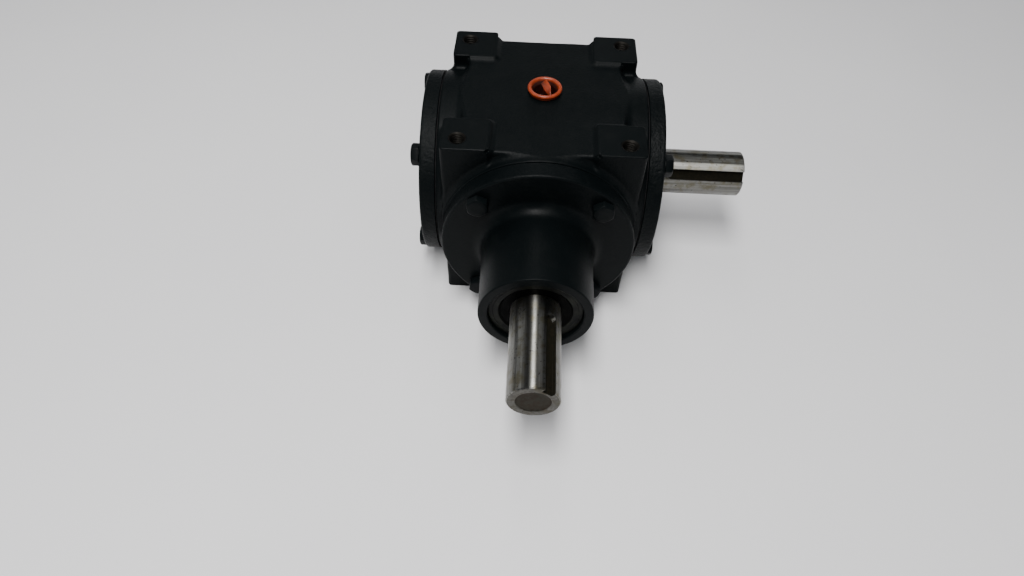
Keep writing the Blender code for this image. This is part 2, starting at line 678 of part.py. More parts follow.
def make_lock_nut(parent):
    start, end = NUT_SPAN
    bore = SHAFT_RADIUS + GAP
    nut = turned("input_lock_nut", [(start, bore), (start, NUT_RADIUS), (end, NUT_RADIUS), (end, bore)],
                 FRONT, COARSE, True, "gear_steel", parent)
    slots = []
    for index in range(NUT_SLOTS):
        turn = 2 * math.pi * index / NUT_SLOTS
        outward = UP * math.cos(turn) + RIGHT * math.sin(turn)
        work = bmesh.new()
        middle = outward * (NUT_RADIUS + MM) - Vector((0, (start + end) / 2, 0))
        spin = Matrix.Rotation(turn, 4, "Y")
        size = Matrix.Diagonal((SLOT_SIZE[0], 2 * (end - start), SLOT_SIZE[1], 1.0))
        bmesh.ops.create_cube(work, size=1.0, matrix=Matrix.Translation(middle) @ spin @ size)
        slots.append(add_object("slot", work, None, parent))
    combine(nut, slots, "DIFFERENCE")
    smooth(nut)
    start, end = WASHER_SPAN
    profile = [(start, bore), (start, NUT_RADIUS - MM), (end, NUT_RADIUS - MM), (end, bore)]
    turned("input_lock_washer", profile, FRONT, COARSE, True, "gear_steel", parent)


def make_spacer(parent):
    start = COLLAR_HALF + GAP
    end = SHOULDER - BEARING_WIDTH - GAP
    bore = SHAFT_RADIUS + GAP
    outer = bore + SPACER_WALL
    profile = [(start, bore), (start, outer), (end, outer), (end, bore)]
    smooth(turned("output_spacer", profile, RIGHT, COARSE, True, "gear_steel", parent))


def make_blade(floor):
    """The tapered blade across the filler plug's cup, with a ridge and one sloping flank."""
    work = bmesh.new()
    ridge_top = FILLER_TOP - BLADE_DROP[0]
    flank_top = FILLER_TOP - BLADE_DROP[1]
    half = BLADE_RIDGE / 2
    sections = []
    for ridge_y, foot_y, ridge, flank in BLADE_SECTIONS:
        section = [(ridge + half, ridge_y, ridge_top), (ridge - half, ridge_y, ridge_top),
                   (flank, foot_y, flank_top), (flank, foot_y, floor - MM),
                   (ridge + 2 * half, foot_y, floor - MM)]
        sections.append([work.verts.new(point) for point in section])
    for section, following in zip(sections, sections[1:]):
        for index in range(len(section)):
            after = (index + 1) % len(section)
            work.faces.new((section[index], section[after], following[after], following[index]))
    work.faces.new(sections[0])
    work.faces.new(sections[-1])
    return add_object("blade", work)


def make_filler_plug():
    """A plastic push-in plug: a rim on the top plate, a skirt in the hole and a blade across it."""
    skirt, rim = FILLER_RIM
    mouth, cup = FILLER_CUP
    plate = AXIS_HEIGHT - PAD_RISE + GAP
    foot = FILLER_TOP - FILLER_DEPTH
    floor = foot + FILLER_FLOOR
    profile = [
        (foot, 0), (foot, skirt), (plate, skirt), (plate, rim), (FILLER_TOP - FILLER_EDGE, rim),
        (FILLER_TOP, rim - FILLER_EDGE), (FILLER_TOP, mouth), (FILLER_TOP - FILLER_MOUTH_DEPTH, cup),
        (floor, cup), (floor, 0),
    ]
    plug = turned("filler_plug", profile, UP, COARSE, False, "plug_plastic")
    combine(plug, [make_blade(floor)], "UNION")
    smooth(plug)


def make_pipe_plug(name, height):
    """A hexagon socket pipe plug, flush in the back wall."""
    outer = BACK_WALL - GAP
    base = BACK * outer + UP * height
    plug = rod(name, base, FRONT, PIPE_PLUG_LENGTH, PIPE_PLUG_RADIUS, COARSE)
    own = make_material("plug_steel")
    own.name = name
    plug.data.materials.append(own)
    corner = PIPE_PLUG_SOCKET / 2 / math.cos(math.pi / 6)
    socket = rod("socket", base + BACK * MM, FRONT, PIPE_PLUG_SOCKET_DEPTH + MM, corner, 6)
    combine(plug, [socket], "DIFFERENCE")
    smooth(plug)


def main():
    clear_scene()
    input_axis = add_empty("input_axis")
    output_axis = add_empty("output_axis")
    cages = {name: add_empty(f"{name}_cage_axis")
             for name in ("input_inner", "input_outer", "output_right", "output_left")}

    make_housing()
    make_side_covers()
    make_front_cover()
    for side, direction in (("front", FRONT), ("right", RIGHT), ("left", LEFT)):
        make_gasket(f"{side}_gasket", direction)
    make_screws()
    make_filler_plug()
    make_pipe_plug("level_plug", 0.0)
    make_pipe_plug("drain_plug", -DRAIN_DROP)

    make_input_shaft(input_axis)
    make_gear("input_bevel_gear", FRONT, LEFT, INPUT_GEAR_FRONT, 0.0, input_axis)
    make_key("input_gear_key", FRONT, input_axis)
    make_retaining_ring(input_axis)
    make_lock_nut(input_axis)

    make_output_shaft(output_axis)
    make_gear("output_bevel_gear", LEFT, FRONT, OUTPUT_GEAR_FRONT, 0.5, output_axis)
    make_key("output_gear_key", LEFT, output_axis)
    make_spacer(output_axis)

    make_bearing("input_inner", FRONT, SHOULDER - GAP, True, input_axis, cages["input_inner"])
    make_bearing("input_outer", FRONT, OUTER_CUP_BACK + GAP, False, input_axis, cages["input_outer"])
    make_bearing("output_right", RIGHT, SHOULDER - GAP, True, output_axis, cages["output_right"])
    make_bearing("output_left", LEFT, SHOULDER - GAP, True, output_axis, cages["output_left"])

    make_seal("input_oil_seal", FRONT, INPUT_SEAL, CUP_RADIUS)
    make_seal_spring("input_seal_spring", FRONT, INPUT_SEAL)
    make_seal("output_oil_seal", RIGHT, OUTPUT_SEAL, OUTPUT_SEAL_RADIUS)
    make_seal_spring("output_seal_spring", RIGHT, OUTPUT_SEAL)


main()
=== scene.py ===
# The looks of the right-angle bevel gearbox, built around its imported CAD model. Lengths below are in
# millimetres, measured from the point where the two shaft axes cross, and turned into metres when a
# mesh is made.
import math
import random

import bmesh
import bpy
import numpy as np
from mathutils import Matrix, Vector, noise
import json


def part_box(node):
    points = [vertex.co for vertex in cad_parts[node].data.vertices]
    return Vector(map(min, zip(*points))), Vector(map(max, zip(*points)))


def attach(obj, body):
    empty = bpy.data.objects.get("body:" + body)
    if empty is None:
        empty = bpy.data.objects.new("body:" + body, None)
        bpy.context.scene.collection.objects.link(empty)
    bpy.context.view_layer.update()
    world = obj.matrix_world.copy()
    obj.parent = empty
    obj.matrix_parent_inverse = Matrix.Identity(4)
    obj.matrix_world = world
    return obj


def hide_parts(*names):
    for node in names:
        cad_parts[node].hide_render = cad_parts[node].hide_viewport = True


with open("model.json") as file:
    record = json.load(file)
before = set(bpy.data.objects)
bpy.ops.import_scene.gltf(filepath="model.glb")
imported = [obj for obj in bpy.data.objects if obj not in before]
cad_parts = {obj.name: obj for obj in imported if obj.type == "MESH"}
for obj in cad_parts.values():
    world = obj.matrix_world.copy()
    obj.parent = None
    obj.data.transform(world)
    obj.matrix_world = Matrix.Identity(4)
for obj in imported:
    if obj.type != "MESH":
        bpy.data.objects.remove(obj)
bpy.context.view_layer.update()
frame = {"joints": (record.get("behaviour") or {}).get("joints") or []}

MM = 0.001
STATIC = "housing"
INPUT = "input_shaft_assembly"
OUTPUT = "output_shaft_assembly"
FRONT = Vector((0, -1, 0))
RIGHT = Vector((1, 0, 0))
LEFT = Vector((-1, 0, 0))
BACK = Vector((0, 1, 0))
UP = Vector((0, 0, 1))
DOWN = Vector((0, 0, -1))

input_joint = next(j for j in frame["joints"] if j["name"] == "input_spin")
CROSSING = Vector(input_joint["pos_m"]) / MM


def node_box(node):
    """A CAD node's lowest and highest corner in millimetres from the shaft crossing."""
    low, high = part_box(node)
    return low / MM - CROSSING, high / MM - CROSSING


def reach(node, direction):
    """How far a node reaches from the shaft crossing along a direction."""
    low, high = node_box(node)
    return max(low.dot(direction), high.dot(direction))


def stations(node, direction):
    """Where a node starts and ends along a direction."""
    low, high = node_box(node)
    return sorted((low.dot(direction), high.dot(direction)))


# ---------------------------------------------------------------- sizes from the frame
housing_high = node_box("housing")[1]
PAD_TOP = housing_high.z
COLUMN = housing_high.y
BOSS_FACE = housing_high.x
SIDE_FACE = reach("right_cover", RIGHT)
FRONT_LOW, FRONT_HIGH = node_box("front_cover")
SNOUT_END = -FRONT_LOW.y
SPIGOT_END = -FRONT_HIGH.y
FLANGE_RADIUS = FRONT_HIGH.x
SHAFT_RADIUS = node_box("input_shaft")[1].x
INPUT_TIP = reach("input_shaft", FRONT)
INPUT_TAIL = -node_box("input_shaft")[1].y
OUTPUT_TIP = reach("output_shaft", RIGHT)
OUTPUT_TAIL = reach("output_shaft", LEFT)
COLLAR_RADIUS = node_box("output_shaft")[1].z
PLUG_TOP = reach("filler_plug", UP)
PLUG_RIM = node_box("filler_plug")[1].x

# ---------------------------------------------------------------- sizes the frame doesn't give
COLUMN_SIZE = 33.0
PLATE = PAD_TOP - 2.7
SIDE_WALL = 58.0
FRONT_WALL = 68.5
BACK_WALL = 64.6
BORE = 52.1
CHAMBER = (50.0, 54.0, 58.0)
MOUNT_OFFSET = 59.0
THREAD_MINOR = 4.7
THREAD_MOUTH = 5.9
FRONT_FACE = 89.7
COVER_SEAT = 76.6
SPIGOT = 51.8
CUP_SEAT = 32.8
RIB = 28.0
SHOULDER = 80.6
OUTER_CUP_BACK = 108.0
SNOUT = 39.6
SCREW_CIRCLE = 61.0
SCREW_SHANK = 4.6
SCREW_HOLE = 4.95
HEAD_FLATS = 14.3
HEAD_HEIGHT = 6.1
KEYWAY = 7.94
KEYWAY_DEPTH = 3.97
KEYWAY_CLEAN_END = 3.0
INPUT_KEYWAY = 160.0
OUTPUT_KEYWAY = 100.0
PIPE_PLUG = 8.6
DRAIN_DROP = 46.0
PLUG_SKIRT = 9.3
HOUSING_TRIANGLES = 185000
BOSS_ROOT = 44
BASE_BOSS = 18.0
HOLE_DEPTH = 20
PLUG_HOLE_FLOOR = 50
PLUG_GAP = 0.3
SEAL_BORE = 25.7
COVER_SIDES = 420
RIM_GRAIN = ((0.6, 0.42), (0.8, 0.95), (0.5, 1.9))
THREAD_PITCH = 25.4 / 14
THREAD_DEPTH = 19.8
PLUG_SOCKET = 7.9
RING_GROOVE = 16.05
COLLAR = 24
GEAR_KEYWAY = (32, 58)


# ---------------------------------------------------------------- meshes
def make_object(name, data, material=None):
    item = bpy.data.objects.new(name, data)
    bpy.context.scene.collection.objects.link(item)
    if material:
        data.materials.append(material)
    return item


def mesh_from(name, points, faces):
    """A mesh in metres from points in millimetres round the shaft crossing."""
    mesh = bpy.data.meshes.new(name)
    placed = (np.asarray(points, float) + np.array(CROSSING)) * MM
    mesh.from_pydata(placed.tolist(), [], faces)
    mesh.validate()
    return mesh


def finish_piece(item, body, nodes, sharp=35):
    """Shade a piece, put it on its body and say which CAD nodes it stands for."""
    item.data.shade_smooth()
    if sharp:
        item.data.set_sharp_from_angle(angle=math.radians(sharp))
    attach(item, body)
    if nodes:
        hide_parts(*nodes)


def rounded_profile(corners, closed):
    """Replace each (station, radius, fillet) corner by an arc of its fillet radius."""
    flat = [np.array(corner[:2], float) for corner in corners]
    count = len(corners)
    points = []
    for index, corner in enumerate(corners):
        fillet = corner[2] if len(corner) > 2 else 0.0
        here = flat[index]
        if fillet <= 0 or (not closed and index in (0, count - 1)):
            points.append(here)
            continue
        before = flat[index - 1] - here
        after = flat[(index + 1) % count] - here
        room = 0.48 * min(np.linalg.norm(before), np.linalg.norm(after))
        before /= np.linalg.norm(before)
        after /= np.linalg.norm(after)
        half = math.acos(float(np.clip(before @ after, -1, 1))) / 2
        tangent = min(fillet / math.tan(half), room)
        radius = tangent * math.tan(half)
        middle = before + after
        centre = here + middle / np.linalg.norm(middle) * (radius / math.sin(half))
        start = here + before * tangent - centre
        end = here + after * tangent - centre
        sweep = math.pi - 2 * half
        steps = max(3, math.ceil(sweep / math.radians(15)))
        for step in range(steps + 1):
            share = step / steps
            first = math.sin((1 - share) * sweep) / math.sin(sweep)
            second = math.sin(share * sweep) / math.sin(sweep)
            points.append(centre + first * start + second * end)
    return points


def resample(points, longest, closed):
    """Split the profile's long runs so that no step is longer than longest."""
    result = []
    runs = zip(points, points[1:] + points[:1]) if closed else zip(points, points[1:])
    for start, end in runs:
        pieces = max(1, math.ceil(float(np.linalg.norm(end - start)) / longest))
        for piece in range(pieces):
            result.append(start + (end - start) * piece / pieces)
    if not closed:
        result.append(points[-1])
    return result


def axis_frame(direction):
    """Two unit vectors across a direction, the first one up where it can be."""
    first = UP if abs(direction.dot(UP)) < 0.5 else BACK
    return np.array(first), np.array(direction.cross(first))


def circle(direction, sides, start=0.0):
    """Unit vectors all round a direction."""
    first, second = axis_frame(direction)
    angles = start + np.arange(sides) * (2 * math.pi / sides)
    return np.cos(angles)[:, None] * first + np.sin(angles)[:, None] * second


def ring_rows(count, sides, start=0):
    """The point numbers of equal rings stored one after another."""
    return [list(range(start + row * sides, start + (row + 1) * sides)) for row in range(count)]


def bands(rows, closed=False):
    """Faces between neighbouring rings of points; a ring of one point makes a fan."""
    faces = []
    for low, high in zip(rows, rows[1:] + rows[:1] if closed else rows[1:]):
        sides = max(len(low), len(high))
        for side in range(sides):
            after = (side + 1) % sides
            corner = [low[side % len(low)], low[after % len(low)],
                      high[after % len(high)], high[side % len(high)]]
            faces.append(tuple(dict.fromkeys(corner)))
    return faces


def closed_object(name, points, faces, material=None):
    """An object made of a closed solid, with its faces turned outward."""
    mesh = mesh_from(name, points, faces)
    face_outward(mesh)
    return make_object(name, mesh, material)


def turned(name, corners, direction, material, sides=128, closed=True, longest=None, base=(0, 0, 0)):
    """Spin a profile of (station, radius, fillet) corners round a shaft axis."""
    points = rounded_profile(corners, closed)
    if longest:
        points = resample(points, longest, closed)
    spokes = circle(direction, sides)
    rows = []
    verts = []
    for station, radius in points:
        centre = np.array(base) + np.array(direction) * station
        ring = [centre] if radius < 1e-6 else centre + spokes * radius
        rows.append(list(range(len(verts), len(verts) + len(ring))))
        verts.extend(ring)
    return closed_object(name, verts, bands(rows, closed), material)


def face_outward(mesh):
    work = bmesh.new()
    work.from_mesh(mesh)
    bmesh.ops.recalc_face_normals(work, faces=work.faces)
    work.to_mesh(mesh)
    work.free()


def solid_box(name, low, high, turn=None):
    """A box in millimetres round the shaft crossing, turned by an optional matrix."""
    work = bmesh.new()
    low = Vector(low)
    high = Vector(high)
    matrix = Matrix.Translation((low + high) / 2) @ Matrix.Diagonal((*(high - low), 1.0))
    if turn:
        matrix = turn @ matrix
    bmesh.ops.create_cube(work, size=1.0, matrix=matrix)
    work.transform(Matrix.Scale(MM, 4) @ Matrix.Translation(CROSSING))
    mesh = bpy.data.meshes.new(name)
    work.to_mesh(mesh)
    work.free()
    return make_object(name, mesh)


def bake_modifiers(item):
    """Replace an object's mesh by what its modifiers make of it."""
    bpy.context.view_layer.update()
    graph = bpy.context.evaluated_depsgraph_get()
    result = bpy.data.meshes.new_from_object(item.evaluated_get(graph))
    old = item.data
    item.modifiers.clear()
    item.data = result
    bpy.data.meshes.remove(old)


def combine(target, tools, operation="DIFFERENCE"):
    for tool in tools:
        modifier = target.modifiers.new(tool.name, "BOOLEAN")
        modifier.operation = operation
        modifier.solver = "EXACT"
        modifier.object = tool
    bake_modifiers(target)
    for tool in tools:
        bpy.data.objects.remove(tool, do_unlink=True)


def soften_edges(item, width, segments=2, angle=32):
    """Round an object's sharp edges a little, as real edges are."""
    modifier = item.modifiers.new("edges", "BEVEL")
    modifier.width = width * MM
    modifier.segments = segments
    modifier.limit_method = "ANGLE"
    modifier.angle_limit = math.radians(angle)
    modifier.miter_outer = "MITER_ARC"
    bake_modifiers(item)


def piece_points(item):
    """A piece's vertices in millimetres from the shaft crossing."""
    flat = np.empty(len(item.data.vertices) * 3)
    item.data.vertices.foreach_get("co", flat)
    return flat.reshape(-1, 3) / MM - np.array(CROSSING)


def place_points(item, points):
    item.data.vertices.foreach_set("co", ((points + np.array(CROSSING)) * MM).ravel())


def round_axis(points, direction):
    """Each point's station along a shaft axis and its radius from it."""
    station = points @ np.array(direction)
    return station, np.linalg.norm(points - station[:, None] * np.array(direction), axis=1)


def store_attribute(mesh, name, values):
    attribute = mesh.attributes.get(name) or mesh.attributes.new(name, "FLOAT", "POINT")
    attribute.data.foreach_set("value", np.asarray(values, np.float32))


def screw_spots(direction):
    across = direction.cross(UP)
    offset = SCREW_CIRCLE * math.sqrt(0.5)
    return [(across * sx + UP * sz) * offset for sx in (-1, 1) for sz in (-1, 1)]


# ---------------------------------------------------------------- the housing casting
def length2(a, b):
    return np.sqrt(a * a + b * b)


def join(a, b, fillet):
    """The union of two distance fields with a round fillet in the corner between them."""
    u = np.maximum(fillet - a, 0)
    v = np.maximum(fillet - b, 0)
    return np.maximum(fillet, np.minimum(a, b)) - np.sqrt(u * u + v * v)


def meet(a, b, edge):
    """The intersection of two distance fields with a round outer edge."""
    u = np.maximum(edge + a, 0)
    v = np.maximum(edge + b, 0)
    return np.minimum(-edge, np.maximum(a, b)) + np.sqrt(u * u + v * v)


def round_rectangle(u, v, half_u, half_v, corner):
    du = np.abs(u) - half_u + corner
    dv = np.abs(v) - half_v + corner
    outside = length2(np.maximum(du, 0), np.maximum(dv, 0))
    return outside + np.minimum(np.maximum(du, dv), 0) - corner


def housing_outside(x, y, z):
    """The cast outside: a box, four columns, three round bosses and the eight pads."""
    ax = np.abs(x)
    ay = np.abs(y)
    az = np.abs(z)
    middle = (BACK_WALL - FRONT_WALL) / 2
    depth = (BACK_WALL + FRONT_WALL) / 2
    core = meet(round_rectangle(x, y - middle, SIDE_WALL, depth, 2.0), az - PLATE, 2.6)
    column_at = COLUMN - COLUMN_SIZE / 2
    footprint = round_rectangle(ax - column_at, ay - column_at, COLUMN_SIZE / 2, COLUMN_SIZE / 2, 2.6)
    body = join(core, np.maximum(footprint, az - PLATE), 4.0)
    side = meet(length2(y, z) - FLANGE_RADIUS, ax - BOSS_FACE, 0.7)
    side = np.maximum(side, BOSS_ROOT - ax)
    body = np.maximum(join(body, side, 6.0), np.maximum(ay - FLANGE_RADIUS, az - PLATE))
    front = meet(length2(x, z) - FLANGE_RADIUS, -y - BOSS_FACE, 0.7)
    front = np.maximum(front, BOSS_ROOT + y)
    fronted = np.maximum(join(body, front, 4.5), np.maximum(ax - FLANGE_RADIUS, az - PLATE))
    body = np.minimum(body, fronted)
    pads = meet(footprint, az - PAD_TOP, 0.6)
    plan = np.minimum(round_rectangle(x, y - middle, SIDE_WALL, depth, 2.0), footprint)
    filled = np.maximum(join(body, pads, 5.0), plan)
    body = meet(np.minimum(body, filled), az - PAD_TOP, 0.6)
    base_boss = meet(length2(x, y) - BASE_BOSS, -z - PAD_TOP, 0.6)
    return join(body, np.maximum(base_boss, z), 1.6)


def housing_inside(x, y, z):
    """Everything cut out of the casting: the chamber, the bores and the holes."""
    ax = np.abs(x)
    ay = np.abs(y)
    az = np.abs(z)
    room = round_rectangle(x, y, CHAMBER[0], CHAMBER[1], 9.0)
    hollow = meet(room, az - CHAMBER[2], 6.0)
    side_bore = length2(y, z) - BORE
    front_bore = np.maximum(length2(x, z) - BORE, y)
    hollow = np.minimum(hollow, np.minimum(side_bore, front_bore))
    mount = length2(ax - MOUNT_OFFSET, ay - MOUNT_OFFSET) - THREAD_MOUTH
    mount = np.maximum(mount, PAD_TOP - HOLE_DEPTH - az)
    hollow = np.minimum(hollow, mount)
    at = SCREW_CIRCLE * math.sqrt(0.5)
    side_screws = np.maximum(length2(ay - at, az - at) - SCREW_HOLE, BOSS_FACE - HOLE_DEPTH - ax)
    front_screws = np.maximum(length2(ax - at, az - at) - SCREW_HOLE, BOSS_FACE - HOLE_DEPTH + y)
    hollow = np.minimum(hollow, np.minimum(side_screws, front_screws))
    filler = np.maximum(length2(x, y) - PLUG_SKIRT - PLUG_GAP, PLUG_HOLE_FLOOR - z)
    level = np.maximum(length2(x, z) - PIPE_PLUG - PLUG_GAP, PLUG_HOLE_FLOOR - y)
    drain = np.maximum(length2(x, z + DRAIN_DROP) - PIPE_PLUG - PLUG_GAP, PLUG_HOLE_FLOOR - y)
    return np.minimum(np.minimum(hollow, filler), np.minimum(level, drain))


def housing_field(points):
    x, y, z = points[:, 0], points[:, 1], points[:, 2]
    return meet(housing_outside(x, y, z), -housing_inside(x, y, z), 0.4)


def ripple(points):
    """Shallow waves of a sand-cast skin, a sum of sines in seeded directions."""
    source = np.random.default_rng(7)
    total = np.zeros(len(points))
    for wavelength, height in ((34, 0.10), (19, 0.05), (9, 0.015)):
        for _ in range(4):
            direction = source.normal(size=3)
            direction /= np.linalg.norm(direction)
            phase = source.uniform(0, 2 * math.pi)
            total += height / 2 * np.sin(points @ direction * (2 * math.pi / wavelength) + phase)
    return total


def cast_share(points):
    """One on the rough cast skin, nought on machined faces and in bores."""
    x, y, z = points[:, 0], points[:, 1], points[:, 2]
    machined = np.abs(z) > PAD_TOP - 0.5
    machined |= np.abs(x) > BOSS_FACE - 0.5
    machined |= -y > BOSS_FACE - 0.5
    machined |= housing_inside(x, y, z) < 0.6
    return np.where(machined, 0.0, 1.0)


def skin_field(points):
    rough = housing_field(points) + ripple(points) * cast_share(points)
    return np.maximum(rough, points[:, 1] - FLANGE_RADIUS)


def gradient(field, points, step=0.05):
    result = np.empty_like(points)
    for axis in range(3):
        shift = np.zeros(3)
        shift[axis] = step
        result[:, axis] = field(points + shift) - field(points - shift)
    norm = np.linalg.norm(result, axis=1, keepdims=True)
    return result / np.maximum(norm, 1e-9)


def settle(field, points, limit, rounds=3):
    """Move points along the gradient onto the field's zero surface."""
    points = points.copy()
    for _ in range(rounds):
        distance = np.clip(field(points), -limit, limit)
        points -= distance[:, None] * gradient(field, points)
    return points


def surface_net(field, low, high, step):
    """Quads round a field's zero surface, with one point in each crossed cell."""
    counts = [int(math.ceil((b - a) / step)) + 1 for a, b in zip(low, high)]
    axes = [a + np.arange(n) * step for a, n in zip(low, counts)]
    values = np.empty(counts, np.float32)
    plane_y, plane_z = np.meshgrid(axes[1], axes[2], indexing="ij")
    for index, x in enumerate(axes[0]):
        slab = np.stack([np.full(plane_y.size, x), plane_y.ravel(), plane_z.ravel()], 1)
        values[index] = field(slab).reshape(counts[1:])
    inside = values < 0
    cells = [n - 1 for n in counts]
    total = np.zeros(cells, np.int8)
    for corner in np.ndindex(2, 2, 2):
        total += inside[tuple(slice(c, c + n) for c, n in zip(corner, cells))]
    active = np.argwhere((total > 0) & (total < 8))
    number = np.full(cells, -1, np.int64)
    number[tuple(active.T)] = np.arange(len(active))
    sums = np.zeros((len(active), 3))
    hits = np.zeros(len(active))
    for axis in range(3):
        others = [k for k in range(3) if k != axis]
        for offset in np.ndindex(2, 2):
            start = np.zeros(3, int)
            start[others] = offset
            end = start.copy()
            end[axis] = 1
            first = values[tuple((active + start).T)]
            last = values[tuple((active + end).T)]
            cross = (first < 0) != (last < 0)
            share = first[cross] / (first[cross] - last[cross])
            sums[cross] += start + (end - start) * share[:, None]
            hits[cross] += 1
    points = (active + sums / hits[:, None]) * step + np.array(low)
    quads = []
    for axis in range(3):
        one, two = [(1, 2), (2, 0), (0, 1)][axis]
        span = [slice(1, n) for n in cells]
        span[axis] = slice(0, cells[axis])
        ahead = list(span)
        ahead[axis] = slice(1, cells[axis] + 1)
        before = inside[tuple(span)]
        after = inside[tuple(ahead)]
        shift = np.array([1, 1, 1])
        shift[axis] = 0
        for flip in (False, True):
            found = np.argwhere(before & ~after if not flip else ~before & after) + shift
            corners = []
            for a, b in ((0, 0), (1, 0), (1, 1), (0, 1)):
                cell = found.copy()
                cell[:, one] -= a
                cell[:, two] -= b
                corners.append(number[tuple(cell.T)])
            quad = np.stack(corners, 1)
            quads.append(quad[:, ::-1] if flip else quad)
    return points, np.concatenate(quads)


def make_housing(material):
    """The casting, thinned to a fair number of faces, with its own exact normals."""
    step = 1.0
    margin = 1.5
    low = [-BOSS_FACE - margin, -BOSS_FACE - margin, -PAD_TOP - margin]
    high = [BOSS_FACE + margin, COLUMN + margin, PAD_TOP + margin]
    points, quads = surface_net(housing_field, low, high, step)
    points = settle(skin_field, points, step)
    item = make_object("housing_casting", mesh_from("housing_casting", points, quads.tolist()), material)
    thin = item.modifiers.new("thin", "DECIMATE")
    thin.ratio = min(1.0, HOUSING_TRIANGLES / (2 * len(quads)))
    bake_modifiers(item)
    points = settle(skin_field, piece_points(item), 0.3)
    place_points(item, points)
    store_attribute(item.data, "cast", cast_share(points) * 0.45)
    finish_piece(item, STATIC, ["housing"], sharp=None)
    normals = gradient(skin_field, points, 0.12)
    item.data.normals_split_custom_set_from_vertices(normals.tolist())


# ---------------------------------------------------------------- materials
class Tree:
    """A short way to write a material's nodes."""

    def __init__(self, name):
        self.material = bpy.data.materials.new(name)
        self.material.use_nodes = True
        self.tree = self.material.node_tree
        self.shader = self.tree.nodes["Principled BSDF"]
        self.place = self.add("ShaderNodeTexCoord").outputs["Object"]

    def add(self, kind, inputs=None, **settings):
        node = self.tree.nodes.new(kind)
        for key, value in settings.items():
            setattr(node, key, value)
        for key, value in (inputs or {}).items():
            self.feed(node.inputs[key], value)
        return node

    def feed(self, socket, value):
        if isinstance(value, bpy.types.NodeSocket):
            self.tree.links.new(value, socket)
        else:
            socket.default_value = value

    def stretch(self, scale):
        return self.add("ShaderNodeMapping", {"Vector": self.place, "Scale": scale}).outputs[0]

    def noise(self, scale, detail=3.0, roughness=0.5, vector=None, distortion=0.0):
        node = self.add("ShaderNodeTexNoise", {
            "Vector": vector or self.place, "Scale": scale, "Detail": detail,
            "Roughness": roughness, "Distortion": distortion})
        return node.outputs["Fac"]

    def cells(self, scale, vector=None):
        node = self.add("ShaderNodeTexVoronoi", {"Vector": vector or self.place, "Scale": scale})
        return node.outputs["Distance"]

    def ramp(self, value, low, high, start=0.0, end=1.0):
        node = self.add("ShaderNodeMapRange", {
            "Value": value, "From Min": low, "From Max": high, "To Min": start, "To Max": end})
        return node.outputs[0]

    def math(self, operation, a, b=0.0):
        return self.add("ShaderNodeMath", {0: a, 1: b}, operation=operation).outputs[0]

    def mix(self, share, a, b):
        node = self.add("ShaderNodeMix", data_type="RGBA")
        self.feed(node.inputs[0], share)
        for index, value in ((6, a), (7, b)):
            self.feed(node.inputs[index], (*value, 1.0) if isinstance(value, tuple) else value)
        return node.outputs[2]

    def attribute(self, name):
        return self.add("ShaderNodeAttribute", attribute_name=name).outputs["Fac"]

    def bump(self, height, distance, strength=1.0, normal=None):
        inputs = {"Height": height, "Distance": distance, "Strength": strength}
        if normal:
            inputs["Normal"] = normal
        return self.add("ShaderNodeBump", inputs).outputs[0]

    def surface(self, **values):
        for key, value in values.items():
            socket = self.shader.inputs[key.replace("_", " ")]
            if isinstance(value, tuple) and len(value) == 3 and socket.type == "RGBA":
                value = (*value, 1.0)
            self.feed(socket, value)
        return self.material


def paint_material():
    """Dark slate enamel over cast iron; the cast attribute says how rough the skin is."""
    t = Tree("slate_enamel")
    cast = t.attribute("cast")
    blotch = t.noise(22, 4, 0.55)
    grain = t.noise(620, 5, 0.62)
    fine = t.noise(2600, 3, 0.5)
    pits = t.ramp(t.cells(430), 0.0, 0.55)
    dust = t.ramp(t.noise(90, 8, 0.7), 0.55, 0.78)
    tone = t.mix(t.ramp(blotch, 0.3, 0.7), (0.0013, 0.0023, 0.0026), (0.0021, 0.0033, 0.0036))
    tone = t.mix(t.math("MULTIPLY", dust, 0.05), tone, (0.050, 0.050, 0.047))
    rough = t.math("ADD", t.ramp(blotch, 0.3, 0.7, 0.36, 0.46), t.ramp(grain, 0.3, 0.7, -0.04, 0.06))
    rough = t.math("ADD", rough, t.math("MULTIPLY", dust, 0.10))
    height = t.math("ADD", t.math("MULTIPLY", grain, 0.8), t.math("MULTIPLY", pits, 0.25))
    height = t.math("MULTIPLY", height, cast)
    skin = t.bump(height, 0.00042)
    skin = t.bump(fine, 0.000018, 1.0, skin)
    return t.surface(Base_Color=tone, Roughness=rough, Normal=skin, Specular_IOR_Level=0.062)


